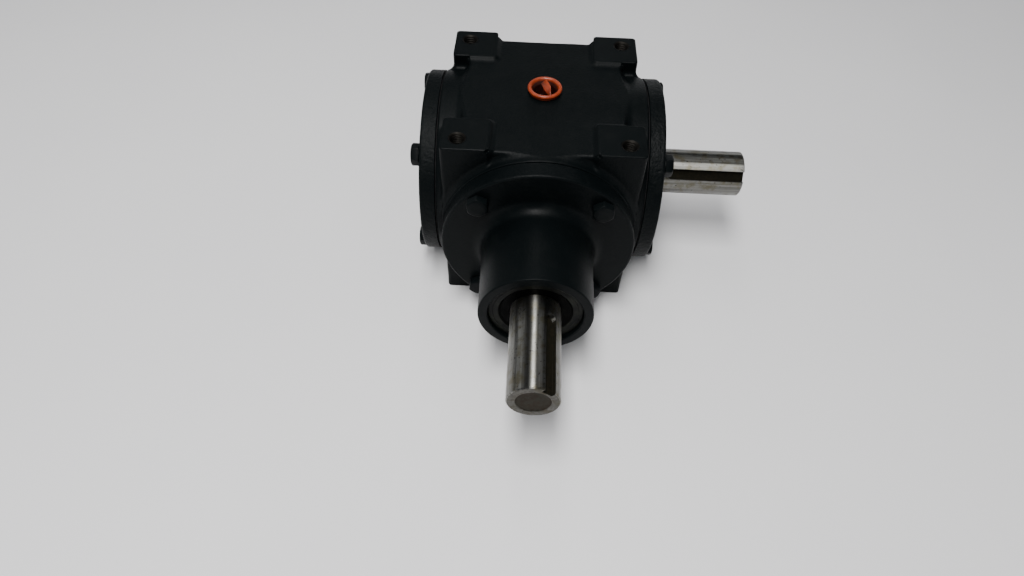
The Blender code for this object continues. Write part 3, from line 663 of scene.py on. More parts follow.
def steel_material(name, axis, grey=(0.205, 0.204, 0.190)):
    """Ground steel with rings round its axis, painted reflection streaks along it, stains and dirty hollows.
    """
    t = Tree(name)
    rings = [14.0, 14.0, 14.0]
    rings[axis] = 2300.0
    lathe = t.noise(1.0, 3, 0.6, t.stretch(tuple(rings)))
    # Streaks along the axis lighten and darken the colour: painted reflection bands of the room. They also
    # vary the roughness.
    along = [420.0, 420.0, 420.0]
    along[axis] = 14.0
    reflection_streak = t.noise(1.0, 4, 0.6, t.stretch(tuple(along)))
    stain = t.ramp(t.noise(135, 6, 0.62), 0.48, 0.63)
    speck = t.ramp(t.noise(520, 3, 0.6), 0.62, 0.70)
    tone = t.mix(t.ramp(reflection_streak, 0.40, 0.60), grey, tuple(c * 0.58 for c in grey))
    tone = t.mix(t.math("MULTIPLY", stain, 0.7), tone, (0.105, 0.094, 0.056))
    tone = t.mix(t.math("MULTIPLY", speck, 0.9), tone, (0.014, 0.012, 0.009))
    dull = t.attribute("dull")
    bloom = t.noise(260, 5, 0.65)
    tone = t.mix(dull, tone, t.mix(t.ramp(bloom, 0.35, 0.65), (0.027, 0.026, 0.019), (0.022, 0.014, 0.008)))
    dirt = t.attribute("dirt")
    rust = t.noise(420, 6, 0.7)
    brown = t.mix(t.ramp(rust, 0.38, 0.66), (0.0072, 0.0075, 0.0054), (0.0135, 0.0112, 0.0072))
    tone = t.mix(dirt, tone, brown)
    rough = t.math("ADD", t.ramp(reflection_streak, 0.3, 0.7, 0.27, 0.33), t.math("MULTIPLY", stain, 0.04))
    rough = t.math("ADD", rough, t.math("MULTIPLY", dull, 0.30))
    rough = t.math("ADD", rough, t.math("MULTIPLY", dirt, 0.40))
    metal = t.math("SUBTRACT", 1.0, t.math("MULTIPLY", dirt, 0.85))
    skin = t.bump(lathe, 0.000007)
    skin = t.bump(t.math("MULTIPLY", rust, dirt), 0.0003, 1.0, skin)
    shine = t.math("SUBTRACT", 0.5, t.math("MULTIPLY", dirt, 0.47))
    around = t.add("ShaderNodeTangent", direction_type="RADIAL", axis="XYZ"[axis]).outputs[0]
    return t.surface(Base_Color=tone, Roughness=rough, Metallic=metal, Normal=skin, Tangent=around,
                     Anisotropic=t.ramp(dull, 0.0, 0.5, 0.95, 0.0), Anisotropic_Rotation=0.25,
                     Specular_IOR_Level=shine)


def plain_metal(name, tone, roughness, metallic=1.0, oil=0.0):
    """Machined or hardened steel for the pieces inside, with a trace of oil."""
    t = Tree(name)
    wear = t.noise(160, 5, 0.6)
    marks = t.noise(1.0, 3, 0.6, t.stretch((700.0, 700.0, 60.0)))
    colour = t.mix(t.ramp(wear, 0.35, 0.7), tone, tuple(c * 0.62 for c in tone))
    rough = t.ramp(t.math("ADD", wear, t.math("MULTIPLY", marks, 0.4)), 0.4, 1.1, roughness, roughness + 0.2)
    skin = t.bump(marks, 0.00001)
    return t.surface(Base_Color=colour, Roughness=rough, Metallic=metallic, Normal=skin, Coat_Weight=oil)


def plastic_material():
    """Moulded orange polyethylene, slightly waxy, with fine scuffs."""
    t = Tree("orange_plastic")
    cloud = t.noise(300, 4, 0.6)
    scuff = t.ramp(t.noise(900, 6, 0.7), 0.58, 0.75)
    tone = t.mix(t.ramp(cloud, 0.3, 0.7), (0.19, 0.021, 0.002), (0.28, 0.035, 0.004))
    tone = t.mix(t.math("MULTIPLY", scuff, 0.25), tone, (0.45, 0.17, 0.09))
    # Painted shade: from a few millimetres under the rim down, the inside of the cup is painted near black,
    # as the deep cup lies in shade.
    height = t.add("ShaderNodeSeparateXYZ", {0: t.place}).outputs["Z"]
    brim = (CROSSING.z + PLUG_TOP) * MM
    depth = t.add("ShaderNodeMapRange", {"Value": height, "From Min": brim - 3.4 * MM,
                                         "From Max": brim - 4.1 * MM}).outputs[0]
    cup_shade = t.math("MULTIPLY", t.math("MAXIMUM", t.attribute("cup_shade"), depth), 0.96)
    tone = t.mix(cup_shade, tone, (0.010, 0.0012, 0.0006))
    rough = t.ramp(t.math("ADD", cloud, scuff), 0.3, 1.6, 0.34, 0.6)
    skin = t.bump(t.noise(1500, 4, 0.6), 0.00003)
    return t.surface(Base_Color=tone, Roughness=rough, Normal=skin, Subsurface_Weight=0.12,
                     Subsurface_Radius=(0.004, 0.0012, 0.0004), Subsurface_Scale=1.0)


def rubber_material(name, tone, greasy, roughness):
    """Dull black rubber or fibre with an oily film in places."""
    t = Tree(name)
    film = t.noise(120, 5, 0.6, None, 0.5)
    grain = t.noise(1800, 4, 0.6)
    colour = t.mix(t.ramp(film, 0.4, 0.68), tone, greasy)
    # The ring round the lip is painted near black and given a weaker specular: an oil film on the lip, and
    # painted shade where the shaft enters the seal's recess.
    lip_oil_and_shade = t.attribute("lip_oil_and_shade")
    colour = t.mix(lip_oil_and_shade, colour, (0.0006, 0.0006, 0.0005))
    rough = t.ramp(film, 0.35, 0.7, roughness, roughness - 0.22)
    skin = t.bump(grain, 0.00004)
    shine = t.ramp(lip_oil_and_shade, 0.0, 1.0, 0.12, 0.03)
    return t.surface(Base_Color=colour, Roughness=rough, Normal=skin, Specular_IOR_Level=shine)


# ---------------------------------------------------------------- covers
def cover_zones(item, direction):
    """A cover's points, their stations and radii, and which of them lie on its cast rim."""
    points = piece_points(item)
    station, radius = round_axis(points, direction)
    return points, station, radius, (radius > FLANGE_RADIUS - 2.5) & (station > COVER_SEAT + 0.4)


def roughen_rim(item, direction, height):
    """Raise the cast grain of a cover's rim along its radius."""
    points, station, radius, rim = cover_zones(item, direction)
    along = np.array(direction)
    moved = points.copy()
    for index in np.nonzero(rim)[0]:
        place = Vector(points[index])
        value = sum(share * noise.noise(place * scale) for share, scale in RIM_GRAIN)
        outward = (points[index] - along * station[index]) / radius[index]
        moved[index] -= outward * height * (0.55 - 0.55 * value)
    place_points(item, moved)


def screw_hole_tools(direction, start, end):
    """Cutters for a cover's four screw holes."""
    tools = []
    for spot in screw_spots(direction):
        corners = [(start, 0), (start, SCREW_HOLE + 0.2), (end, SCREW_HOLE + 0.2), (end, 0)]
        tools.append(turned("hole", corners, direction, None, 32, False, base=tuple(spot)))
    return tools


def finish_cover(item, direction, node, rim_rough, body_rough):
    combine(item, screw_hole_tools(direction, COVER_SEAT - 2, FRONT_FACE + 3))
    roughen_rim(item, direction, 0.35 * rim_rough)
    rim = cover_zones(item, direction)[3]
    store_attribute(item.data, "cast", np.where(rim, rim_rough, body_rough))
    finish_piece(item, STATIC, [node], sharp=38)


def make_side_cover(node, direction, blind, material):
    """A round cover with a shallow dish, and a seal bore or a closed middle."""
    face = SIDE_FACE
    dish = face - 1.3
    corners = [
        (SPIGOT_END, CUP_SEAT, 0.4), (SPIGOT_END, SPIGOT, 0.6), (COVER_SEAT, SPIGOT, 0.3),
        (COVER_SEAT, FLANGE_RADIUS, 0.5), (face, FLANGE_RADIUS, 1.8), (face, 52.5, 0.8), (dish, 50.5, 1.2),
    ]
    seat = (SHOULDER, CUP_SEAT, 0.4)
    if blind:
        corners = [(SHOULDER + 0.4, 0), (SHOULDER + 0.4, RIB, 0.4), (SHOULDER, RIB + 0.3, 0.2),
                   seat] + corners + [(dish, 0)]
    else:
        corners += [(dish, 37, 1.2), (face, 35, 0.8), (face, SEAL_BORE + 0.8, 0.1),
                    (face - 0.8, SEAL_BORE, 0.1), (SHOULDER, SEAL_BORE, 0.3), seat]
    item = turned(node + "_casting", corners, direction, material, COVER_SIDES, not blind, 1.0)
    finish_cover(item, direction, node, 1.0, 0.6)


def make_front_cover(material):
    """The flange and the long snout that holds both input bearings and the seal."""
    corners = [
        (SPIGOT_END, CUP_SEAT, 0.4), (SPIGOT_END, SPIGOT, 0.6), (COVER_SEAT, SPIGOT, 0.3),
        (COVER_SEAT, FLANGE_RADIUS, 0.5), (FRONT_FACE, FLANGE_RADIUS, 1.8),
        (FRONT_FACE, SNOUT + 0.7, 8.5), (SNOUT_END, SNOUT, 0.9), (SNOUT_END, CUP_SEAT + 0.7, 0.15),
        (SNOUT_END - 0.7, CUP_SEAT, 0.15), (OUTER_CUP_BACK, CUP_SEAT, 0.3), (OUTER_CUP_BACK, RIB, 0.5),
        (SHOULDER, RIB, 0.5), (SHOULDER, CUP_SEAT, 0.3),
    ]
    item = turned("front_cover_casting", corners, FRONT, material, COVER_SIDES, True, 1.2)
    finish_cover(item, FRONT, "front_cover", 0.5, 0.22)


def make_gasket(node, direction, material):
    start, end = stations(node, direction)
    corners = [(start, SPIGOT + 0.8, 0.05), (start, FLANGE_RADIUS - 1.1, 0.1),
               (end, FLANGE_RADIUS - 1.1, 0.1), (end, SPIGOT + 0.8, 0.05)]
    item = turned(node + "_ring", corners, direction, material, 240)
    combine(item, screw_hole_tools(direction, start - 2, end + 2))
    finish_piece(item, STATIC, [node])


# ---------------------------------------------------------------- screws and plugs
def hexagon_radius(angle, flats, corner):
    """Distance to the side of a hexagon with rounded corners, at an angle from a flat."""
    half = flats / 2
    turn = (angle + math.pi / 6) % (math.pi / 3) - math.pi / 6
    inner = half - corner
    if abs(turn) <= math.atan(inner * math.tan(math.pi / 6) / half):
        return half / math.cos(turn)
    centre = inner / math.cos(math.pi / 6)
    offset = math.pi / 6 - abs(turn)
    return centre * math.cos(offset) + math.sqrt(corner ** 2 - (centre * math.sin(offset)) ** 2)


def make_screw(node, direction, material, turn):
    """A hexagon-head screw: chamfered head, washer face and shank."""
    low, high = node_box(node)
    bottom, top = stations(node, direction)
    spot = (low + high) / 2
    spot -= direction * spot.dot(direction)
    seat = top - HEAD_HEIGHT
    half = HEAD_FLATS / 2
    crown = half * 0.93
    sides = 96
    spokes = circle(direction, sides)

    def hexagon(inset):
        angles = 2 * math.pi * np.arange(sides) / sides - turn
        return np.array([hexagon_radius(angle, HEAD_FLATS - 2 * inset, 0.5) for angle in angles])

    def chamfer(radius):
        return top - np.maximum(0.0, radius - crown) * math.tan(math.radians(30))

    full = hexagon(0.0)
    inner = np.minimum(crown + 0.25, hexagon(0.35))
    levels = [
        (bottom, SCREW_SHANK - 0.8), (bottom + 0.8, SCREW_SHANK), (seat, SCREW_SHANK), (seat, half * 0.95),
        (seat + 0.35, half * 0.96), (seat + 0.36, hexagon(0.15)), (seat + 0.55, full),
        (chamfer(full) - 0.25, full), (chamfer(hexagon(0.12)) - 0.05, hexagon(0.12)),
        (chamfer(hexagon(0.3)), hexagon(0.3)), (chamfer(inner), inner), (top - 0.02, crown - 0.2),
        (top - 0.12, crown * 0.5),
    ]
    verts = [np.array(spot + direction * bottom)]
    for height, radius in levels:
        heights = np.broadcast_to(height, sides)[:, None]
        radii = np.broadcast_to(radius, sides)[:, None]
        verts.extend(np.array(spot) + np.array(direction) * heights + spokes * radii)
    verts.append(np.array(spot + direction * (top - 0.15)))
    rows = [[0]] + ring_rows(len(levels), sides, 1) + [[len(verts) - 1]]
    item = closed_object(node + "_bolt", verts, bands(rows), material)
    store_attribute(item.data, "cast", np.full(len(item.data.vertices), 0.12))
    finish_piece(item, STATIC, [node], sharp=28)


def make_thread(name, base, direction, material):
    """The thread inside a tapped hole, with a countersunk mouth."""
    sides = 40
    rows = 110
    spokes = circle(direction, sides)
    verts = []

    def ring(depth, radius):
        radii = np.broadcast_to(radius, sides)[:, None]
        verts.extend(np.array(base) - np.array(direction) * depth + spokes * radii)

    for row in range(rows + 1):
        depth = THREAD_DEPTH * row / rows
        phase = (depth / THREAD_PITCH + np.arange(sides) / sides) % 1.0
        ridge = np.clip(2.6 * (0.5 - np.abs(phase - 0.5)) - 0.2, 0, 1)
        ring(depth, np.maximum(THREAD_MINOR + 0.85 * (1 - ridge), THREAD_MOUTH - depth - 0.02))
    ring(THREAD_DEPTH, THREAD_MOUTH + 0.25)
    ring(0.0, THREAD_MOUTH + 0.25)
    item = closed_object(name, verts, bands(ring_rows(rows + 3, sides), True), material)
    finish_piece(item, STATIC, [], sharp=50)


def make_filler_plug(material):
    """The orange push-in plug: a rolled rim, a deep cup and one tapered blade across it."""
    seat = PLATE + 0.15
    floor = PLUG_TOP - 12.6
    cup = PLUG_SKIRT - 1.0
    mouth = 9.7
    corners = [
        (PLUG_TOP - 14, 0), (PLUG_TOP - 14, PLUG_SKIRT - 0.4, 0.8), (seat, PLUG_SKIRT, 0.2),
        (seat, PLUG_RIM - 1.4, 0.4), (seat + 1.9, PLUG_RIM - 0.9, 0.8), (PLUG_TOP - 1.5, PLUG_RIM, 0.8),
        (PLUG_TOP, PLUG_RIM - 0.6, 1.2), (PLUG_TOP, mouth + 0.5, 1.4), (PLUG_TOP - 2.6, mouth - 0.5, 0.8),
        (PLUG_TOP - 4.0, cup, 0.8), (floor, cup - 0.4, 0.8), (floor, 0),
    ]
    plug = turned("filler_plug_moulding", corners, UP, material, 128, False, 1.5)
    sections = [(9.4, 8.2, 0.9, -2.9), (1.6, 1.6, 3.8, -0.7), (-8.0, -7.2, 4.1, 3.6)]
    verts = []
    for ridge_y, foot_y, ridge, flank in sections:
        droop = max(0.0, -ridge_y) * 0.10
        ridge_top = PLUG_TOP - 1.0 - droop
        verts += [(ridge + 0.4, ridge_y, ridge_top), (ridge - 0.4, ridge_y, ridge_top),
                  (flank, foot_y, PLUG_TOP - 3.4 - droop), (flank, foot_y, floor - 0.4),
                  (ridge + 0.8, foot_y, floor - 0.4)]
    rows = ring_rows(len(sections), 5)
    faces = bands(rows) + [tuple(rows[0]), tuple(rows[-1])[::-1]]
    combine(plug, [closed_object("blade", verts, faces)], "UNION")
    soften_edges(plug, 0.25, 3, 50)
    points = piece_points(plug)
    # These values darken the mouth's wall from 1 mm under the rim top down: painted shade of the deep cup.
    depth = np.clip((PLUG_TOP - 1.0 - points[:, 2]) / 1.2, 0, 1)
    radius = np.linalg.norm(points[:, :2], axis=1)
    wall = (radius > cup - 0.6) & (radius < mouth + 0.3)
    store_attribute(plug.data, "cup_shade", np.where(wall, depth, 0.0))
    finish_piece(plug, STATIC, ["filler_plug"], sharp=45)


def make_pipe_plug(node, height, material):
    """A hexagon socket pipe plug, sunk just under the back wall's skin."""
    face = reach(node, BACK)
    base = (0, 0, height)
    corners = [(face - 9.4, 0), (face - 9.4, PIPE_PLUG - 0.9, 0.5), (face - 1.0, PIPE_PLUG, 0.3),
               (face, PIPE_PLUG - 0.9, 0.3), (face, 0)]
    plug = turned(node + "_body", corners, BACK, material, 96, False, base=base)
    work = bmesh.new()
    size = PLUG_SOCKET / 2 / math.cos(math.pi / 6) * MM
    matrix = (Matrix.Translation((Vector(base) + CROSSING + BACK * (face - 2.8)) * MM)
              @ UP.rotation_difference(BACK).to_matrix().to_4x4())
    bmesh.ops.create_cone(work, cap_ends=True, segments=6, radius1=size, radius2=size, depth=8 * MM,
                          matrix=matrix)
    mesh = bpy.data.meshes.new("socket")
    work.to_mesh(mesh)
    work.free()
    combine(plug, [make_object("socket", mesh)])
    soften_edges(plug, 0.2, 2, 50)
    finish_piece(plug, STATIC, [node], sharp=40)


# ---------------------------------------------------------------- shafts and seals
def keyway_tool(direction, angle, start, end, open_end):
    """A cutter with an end-milled round end, sunk into a shaft."""
    outward = UP * math.cos(angle) + direction.cross(UP) * math.sin(angle)
    side = direction.cross(outward)
    half = KEYWAY / 2
    steps = 20

    def half_round(centre, first_turn):
        turns = [first_turn + math.pi * step / steps for step in range(steps + 1)]
        return [(centre + half * math.cos(turn), half * math.sin(turn)) for turn in turns]

    outline = half_round(start + half, math.pi / 2)
    outline += [(end + 5, -half), (end + 5, half)] if open_end else half_round(end - half, -math.pi / 2)
    verts = [np.array(direction * along + side * width + outward * level)
             for level in (SHAFT_RADIUS - KEYWAY_DEPTH, SHAFT_RADIUS + 5) for along, width in outline]
    rows = ring_rows(2, len(outline))
    return closed_object("keyway", verts, bands(rows) + [tuple(rows[0]), tuple(rows[1])[::-1]])


def shaft_end(tip):
    """A turned end: a chamfer, a flat ring and a shallow sawn middle."""
    return [(tip - 0.9, SHAFT_RADIUS, 0.2), (tip, SHAFT_RADIUS - 0.9, 0.2), (tip, SHAFT_RADIUS * 0.69, 0.15),
            (tip - 0.45, SHAFT_RADIUS * 0.66, 0.2), (tip - 0.5, 0)]


def mark_faces(item, direction, rules):
    """Store a value per face from its station along an axis and its radius from it."""
    mesh = item.data
    flat = np.empty(len(mesh.polygons) * 3)
    mesh.polygons.foreach_get("center", flat)
    station, radius = round_axis(flat.reshape(-1, 3) / MM - np.array(CROSSING), direction)
    for name, rule in rules.items():
        attribute = mesh.attributes.new(name, "FLOAT", "FACE")
        attribute.data.foreach_set("value", rule(station, radius).astype(np.float32))


def mark_dirt(item, direction, tip, keyway_start):
    """Mark where dirt lies in the keyways and where the end face is dull with light rust."""
    def grooves(station, radius):
        closed_end = np.abs(station - keyway_start) < KEYWAY_CLEAN_END
        return (radius < SHAFT_RADIUS - 0.35) & (station < tip - 0.7) & (station > 0) & ~closed_end

    def end_face(station, radius):
        ring = (station > tip - 0.7) & (radius < SHAFT_RADIUS - 0.75)
        middle = ring & (radius < SHAFT_RADIUS * 0.67)
        return np.where(middle, 1.0, np.where(ring, 0.6, 0.0))

    mark_faces(item, direction, {"dirt": grooves, "dull": end_face})


def finish_shaft(item, direction, gear_side, turn, keyway_start, tip, body, node):
    """Cut a shaft's open keyway and its gear's keyway, then mark its dirt and shade it."""
    combine(item, [keyway_tool(direction, turn, keyway_start, tip, True),
                   keyway_tool(gear_side, 0, *GEAR_KEYWAY, False)])
    soften_edges(item, 0.22)
    mark_dirt(item, direction, tip, keyway_start)
    finish_piece(item, body, [node], sharp=30)


def make_input_shaft(material):
    start, end = stations("input_retaining_ring", FRONT)
    start -= CLEARANCE
    end += CLEARANCE
    corners = [(INPUT_TAIL, 0), (INPUT_TAIL, SHAFT_RADIUS, 0.6), (start, SHAFT_RADIUS, 0.1),
               (start, RING_GROOVE, 0.1), (end, RING_GROOVE, 0.1), (end, SHAFT_RADIUS, 0.1)]
    item = turned("input_shaft_steel", corners + shaft_end(INPUT_TIP), FRONT, material, 192, False, 6.0)
    finish_shaft(item, FRONT, FRONT, -math.radians(36), INPUT_KEYWAY, INPUT_TIP, INPUT, "input_shaft")


def make_output_shaft(material):
    corners = [(-OUTPUT_TAIL, 0), (-OUTPUT_TAIL, SHAFT_RADIUS, 0.6), (-COLLAR, SHAFT_RADIUS, 0.4),
               (-COLLAR, COLLAR_RADIUS, 0.4), (COLLAR, COLLAR_RADIUS, 0.4), (COLLAR, SHAFT_RADIUS, 0.4)]
    item = turned("output_shaft_steel", corners + shaft_end(OUTPUT_TIP), RIGHT, material, 192, False, 6.0)
    finish_shaft(item, RIGHT, LEFT, math.radians(57), OUTPUT_KEYWAY, OUTPUT_TIP, OUTPUT, "output_shaft")


def make_seal(node, direction, material):
    """A lip seal: a flanged face that steps down to its dust lip."""
    start, end = stations(node, direction)
    radius = reach(node, UP)
    lip = SHAFT_RADIUS + 0.12
    corners = [
        (start, radius - 0.2, 0.2), (start, radius - 1.5, 0.2), (end - 2.2, radius - 1.5, 0.3),
        (end - 2.2, lip + 3.4, 0.5), (start + 1.2, lip + 2.2, 0.5), (start + 1.2, lip + 0.2, 0.2),
        (start + 2.9, lip, 0.3), (end - 3.2, lip + 1.4, 0.6), (end - 2.4, lip + 0.1, 0.2),
        (end - 1.7, lip + 0.1, 0.3), (end - 1.6, lip + 6.6, 0.5), (end - 0.4, lip + 8.2, 0.8),
        (end - 0.4, radius - 3.4, 0.3), (end, radius - 2.8, 0.3), (end, radius, 0.6),
    ]
    item = turned(node + "_ring", corners, direction, material, 160)
    # Faces round the lip get the darkening mark: oil on the lip and painted shade of the recess.
    mark_faces(item, direction, {"lip_oil_and_shade": lambda station, radius: radius < lip + 7.4})
    finish_piece(item, STATIC, [node], sharp=40)


# ---------------------------------------------------------------- bearings and small pieces inside
CUP_RADIUS = 32.545
CUP_WIDTH = 13.97
BEARING_WIDTH = 18.03
CUP_RACE = 27.6
CONE_RACE = 21.3
CUP_SLOPE = math.tan(math.radians(12))
CONE_SLOPE = math.tan(math.radians(9))
ROLLER_SPAN = (3.2, 14.4)
ROLLER_SHOULDERS = (2.3, 15.3)
ROLLER_COUNT = 18
CAGE_RIMS = ((1.8, 2.9), (14.7, 15.9))
CAGE_BARS = (2.4, 15.2)
CLEARANCE = 0.3
SPRING_WIRE = 0.17
SPRING_COILS = 150
CUT_PAST = 3


def join_meshes(name, pieces, material):
    """One object made of several point and face lists."""
    verts = []
    faces = []
    for points, polygons in pieces:
        start = len(verts)
        verts.extend(points)
        faces.extend(tuple(start + index for index in polygon) for polygon in polygons)
    return closed_object(name, verts, faces, material)


def tapered_pin(start, end, radii, sides=20, edge=0.35):
    """Points and faces of a roller between two centres, with rounded rims."""
    axis = end - start
    length = np.linalg.norm(axis)
    axis /= length
    first = np.cross(axis, [0.3, 0.7, 0.2])
    first /= np.linalg.norm(first)
    second = np.cross(axis, first)
    turns = [2 * math.pi * side / sides for side in range(sides)]
    spokes = [first * math.cos(turn) + second * math.sin(turn) for turn in turns]
    levels = [(0, radii[0] - edge), (0.3 * edge, radii[0] - 0.3 * edge), (edge, radii[0]),
              (length - edge, radii[1]), (length - 0.3 * edge, radii[1] - 0.3 * edge),
              (length, radii[1] - edge)]
    points = [start + axis * along + spoke * radius for along, radius in levels for spoke in spokes]
    rows = ring_rows(len(levels), sides)
    return points, bands(rows) + [tuple(rows[0]), tuple(rows[-1])[::-1]]


def ring_piece(levels, direction, sides=120):
    """Points and faces of a closed (station, radius) section spun round a shaft axis."""
    spokes = circle(direction, sides)
    along = np.array(direction)
    points = [along * station + spoke * radius for station, radius in levels for spoke in spokes]
    return points, bands(ring_rows(len(levels), sides), True)


def make_bearing(name, direction, back_face, sign, shaft_body, material, cage_material):
    """A tapered roller bearing: cup, cone, separate rollers and their pressed cage."""
    def place(depth):
        return back_face + sign * depth

    def middle(depth):
        return (CUP_RACE + CUP_SLOPE * depth + CONE_RACE + CONE_SLOPE * depth) / 2

    def pin(depth):
        return (CUP_RACE + CUP_SLOPE * depth - CONE_RACE - CONE_SLOPE * depth) / 2 - 0.1

    low, high = ROLLER_SHOULDERS
    bore = SHAFT_RADIUS + CLEARANCE
    cup = [(place(0), CUP_RACE, 0.5), (place(CUP_WIDTH), CUP_RACE + CUP_SLOPE * CUP_WIDTH, 0.4),
           (place(CUP_WIDTH), CUP_RADIUS, 1.0), (place(0), CUP_RADIUS, 1.6)]
    cone = [
        (place(CLEARANCE), bore, 0.8), (place(CLEARANCE), CONE_RACE + 0.9, 0.3),
        (place(low), CONE_RACE + 0.9, 0.2), (place(low), CONE_RACE + CONE_SLOPE * low, 0.2),
        (place(high), CONE_RACE + CONE_SLOPE * high, 0.2), (place(high), CONE_RACE + 4.3, 0.3),
        (place(BEARING_WIDTH), CONE_RACE + 4.3, 0.6), (place(BEARING_WIDTH), bore, 1.2),
    ]
    for part, corners, body in (("cup", cup, STATIC), ("cone", cone, shaft_body)):
        item = turned(f"{name}_{part}_ring", corners, direction, material, 144)
        finish_piece(item, body, [f"{name}_bearing_{part}"])

    along = np.array(direction)
    pins = []
    for outward in circle(direction, ROLLER_COUNT):
        ends = [along * place(depth) + outward * middle(depth) for depth in ROLLER_SPAN]
        pins.append(tapered_pin(*ends, [pin(depth) for depth in ROLLER_SPAN]))
    item = join_meshes(name + "_roller_set", pins, material)
    finish_piece(item, name + "_rollers", [name + "_bearing_rollers"])

    strips = []
    for start, end in CAGE_RIMS:
        levels = [(place(start), middle(start) - 0.2), (place(start), middle(start) + 0.7),
                  (place(end), middle(end) + 0.7), (place(end), middle(end) - 0.2)]
        strips.append(ring_piece(levels, direction))
    for outward in circle(direction, ROLLER_COUNT, math.pi / ROLLER_COUNT):
        sideways = np.cross(along, outward)
        points = [along * place(depth) + outward * (middle(depth) + lift) + sideways * width
                  for depth in CAGE_BARS for lift in (-0.15, 0.65) for width in (-0.65, 0.65)]
        faces = [(0, 1, 3, 2), (4, 6, 7, 5), (0, 4, 5, 1), (2, 3, 7, 6), (0, 2, 6, 4), (1, 5, 7, 3)]
        strips.append((points, faces))
    item = join_meshes(name + "_roller_cage", strips, cage_material)
    finish_piece(item, name + "_rollers", [])


def make_garter_spring(node, direction, material):
    """A fine coil closed into a ring."""
    start, end = stations(node, direction)
    coil = (end - start) / 2 - SPRING_WIRE
    ring = reach(node, UP) - coil - SPRING_WIRE
    steps = SPRING_COILS * 8
    sides = 6
    along = np.array(direction)
    outward = circle(direction, steps)
    spin = np.arange(steps) * (2 * math.pi / steps) * SPRING_COILS
    path = along * (start + end) / 2 + outward * ring
    path = path + outward * (np.cos(spin) * coil)[:, None] + along * (np.sin(spin) * coil)[:, None]
    forward = np.roll(path, -1, 0) - np.roll(path, 1, 0)
    forward /= np.linalg.norm(forward, axis=1, keepdims=True)
    one = np.cross(forward, np.cross(along, outward))
    one /= np.linalg.norm(one, axis=1, keepdims=True)
    two = np.cross(forward, one)
    turns = [2 * math.pi * side / sides for side in range(sides)]
    points = np.concatenate([path + (one * math.cos(turn) + two * math.sin(turn)) * SPRING_WIRE
                             for turn in turns])
    item = closed_object(node + "_coil", points, bands(ring_rows(sides, steps), True), material)
    finish_piece(item, STATIC, [node], sharp=None)


def plain_ring(name, node, direction, bore, radius, fillets, material, longest=None):
    """A ring of rectangular section as long as its node; fillets inside then outside."""
    start, end = stations(node, direction)
    corners = [(start, bore, fillets[0]), (start, radius, fillets[1]), (end, radius, fillets[1]),
               (end, bore, fillets[2])]
    return turned(name, corners, direction, material, 128, True, longest)


def cut_rim(item, node, count, half_width, depth):
    """Cut slots through a ring's rim, at even steps round the input shaft."""
    start, end = stations(node, FRONT)
    radius = reach(node, RIGHT)
    low = (-half_width, -end - CUT_PAST, radius - depth)
    high = (half_width, -start + CUT_PAST, radius + CUT_PAST)
    turns = [Matrix.Rotation(2 * math.pi / count * index, 4, "Y") for index in range(count)]
    combine(item, [solid_box("slot", low, high, turn) for turn in turns])


def make_small_rings(steel, nut_steel):
    """The nut, its tab washer, the snap ring, the spacer and the gear keys."""
    bore = SHAFT_RADIUS + CLEARANCE
    for node, part, fillets, slots, edge in (
            ("input_lock_nut", "body", (0.5, 1.2, 0.9), (4, 3, 2.5), 0.3),
            ("input_lock_washer", "plate", (0.2, 0.4, 0.2), (12, 2.2, 2.6), 0.15)):
        item = plain_ring(f"{node}_{part}", node, FRONT, bore, reach(node, RIGHT), fillets, nut_steel)
        cut_rim(item, node, *slots)
        soften_edges(item, edge, 2, 40)
        finish_piece(item, INPUT, [node])
    node = "input_retaining_ring"
    start, end = stations(node, FRONT)
    radius = reach(node, RIGHT)
    ring = plain_ring("input_snap_ring", node, FRONT, 16.4, radius, (0.1, 0.2, 0.1), steel)
    gap = solid_box("gap", (-2.5, -end - CUT_PAST, -radius - CUT_PAST), (2.5, -start + CUT_PAST, 0))
    combine(ring, [gap])
    soften_edges(ring, 0.15, 2, 40)
    finish_piece(ring, INPUT, [node])
    node = "output_spacer"
    spacer = plain_ring("output_spacer_tube", node, RIGHT, bore, reach(node, UP), (0.5, 0.6, 0.5),
                        nut_steel, 6.0)
    finish_piece(spacer, OUTPUT, [node])
    for node, body in (("input_gear_key", INPUT), ("output_gear_key", OUTPUT)):
        key = solid_box(node + "_bar", *node_box(node))
        key.data.materials.append(steel)
        soften_edges(key, 0.4, 3, 40)
        finish_piece(key, body, [node])


# ---------------------------------------------------------------- bevel gears
TEETH = 20
PITCH_RADIUS = 42.5
MODULE = 2 * PITCH_RADIUS / TEETH
FACE_WIDTH = 20.0
PRESSURE_ANGLE = math.radians(20)
TOOTH_THINNING = 0.28
CONE_SIDE = math.sqrt(0.5)


def tooth_outline():
    """One tooth on the developed back cone, as (height over the pitch line, angle) points."""
    virtual = PITCH_RADIUS / CONE_SIDE
    base = virtual * math.cos(PRESSURE_ANGLE)
    root = virtual - 1.25 * MODULE
    tip = virtual + MODULE
    half_pitch = (math.pi * MODULE / 4 - TOOTH_THINNING / 2) / virtual
    roll_at_pitch = math.tan(PRESSURE_ANGLE) - PRESSURE_ANGLE
    thickest = half_pitch + roll_at_pitch
    flank = [(root, thickest + 0.010), (root + 0.25, thickest + 0.004), (root + 0.7, thickest)]
    steps = 8
    for step in range(steps + 1):
        radius = base + (tip - 0.25 - base) * step / steps
        pressure = math.acos(base / radius)
        flank.append((radius, thickest - math.tan(pressure) + pressure))
    flank.append((tip, flank[-1][1] - 0.006))
    left = [(radius - virtual, -angle / CONE_SIDE) for radius, angle in flank]
    right = [(radius - virtual, angle / CONE_SIDE) for radius, angle in reversed(flank)]
    return left + right


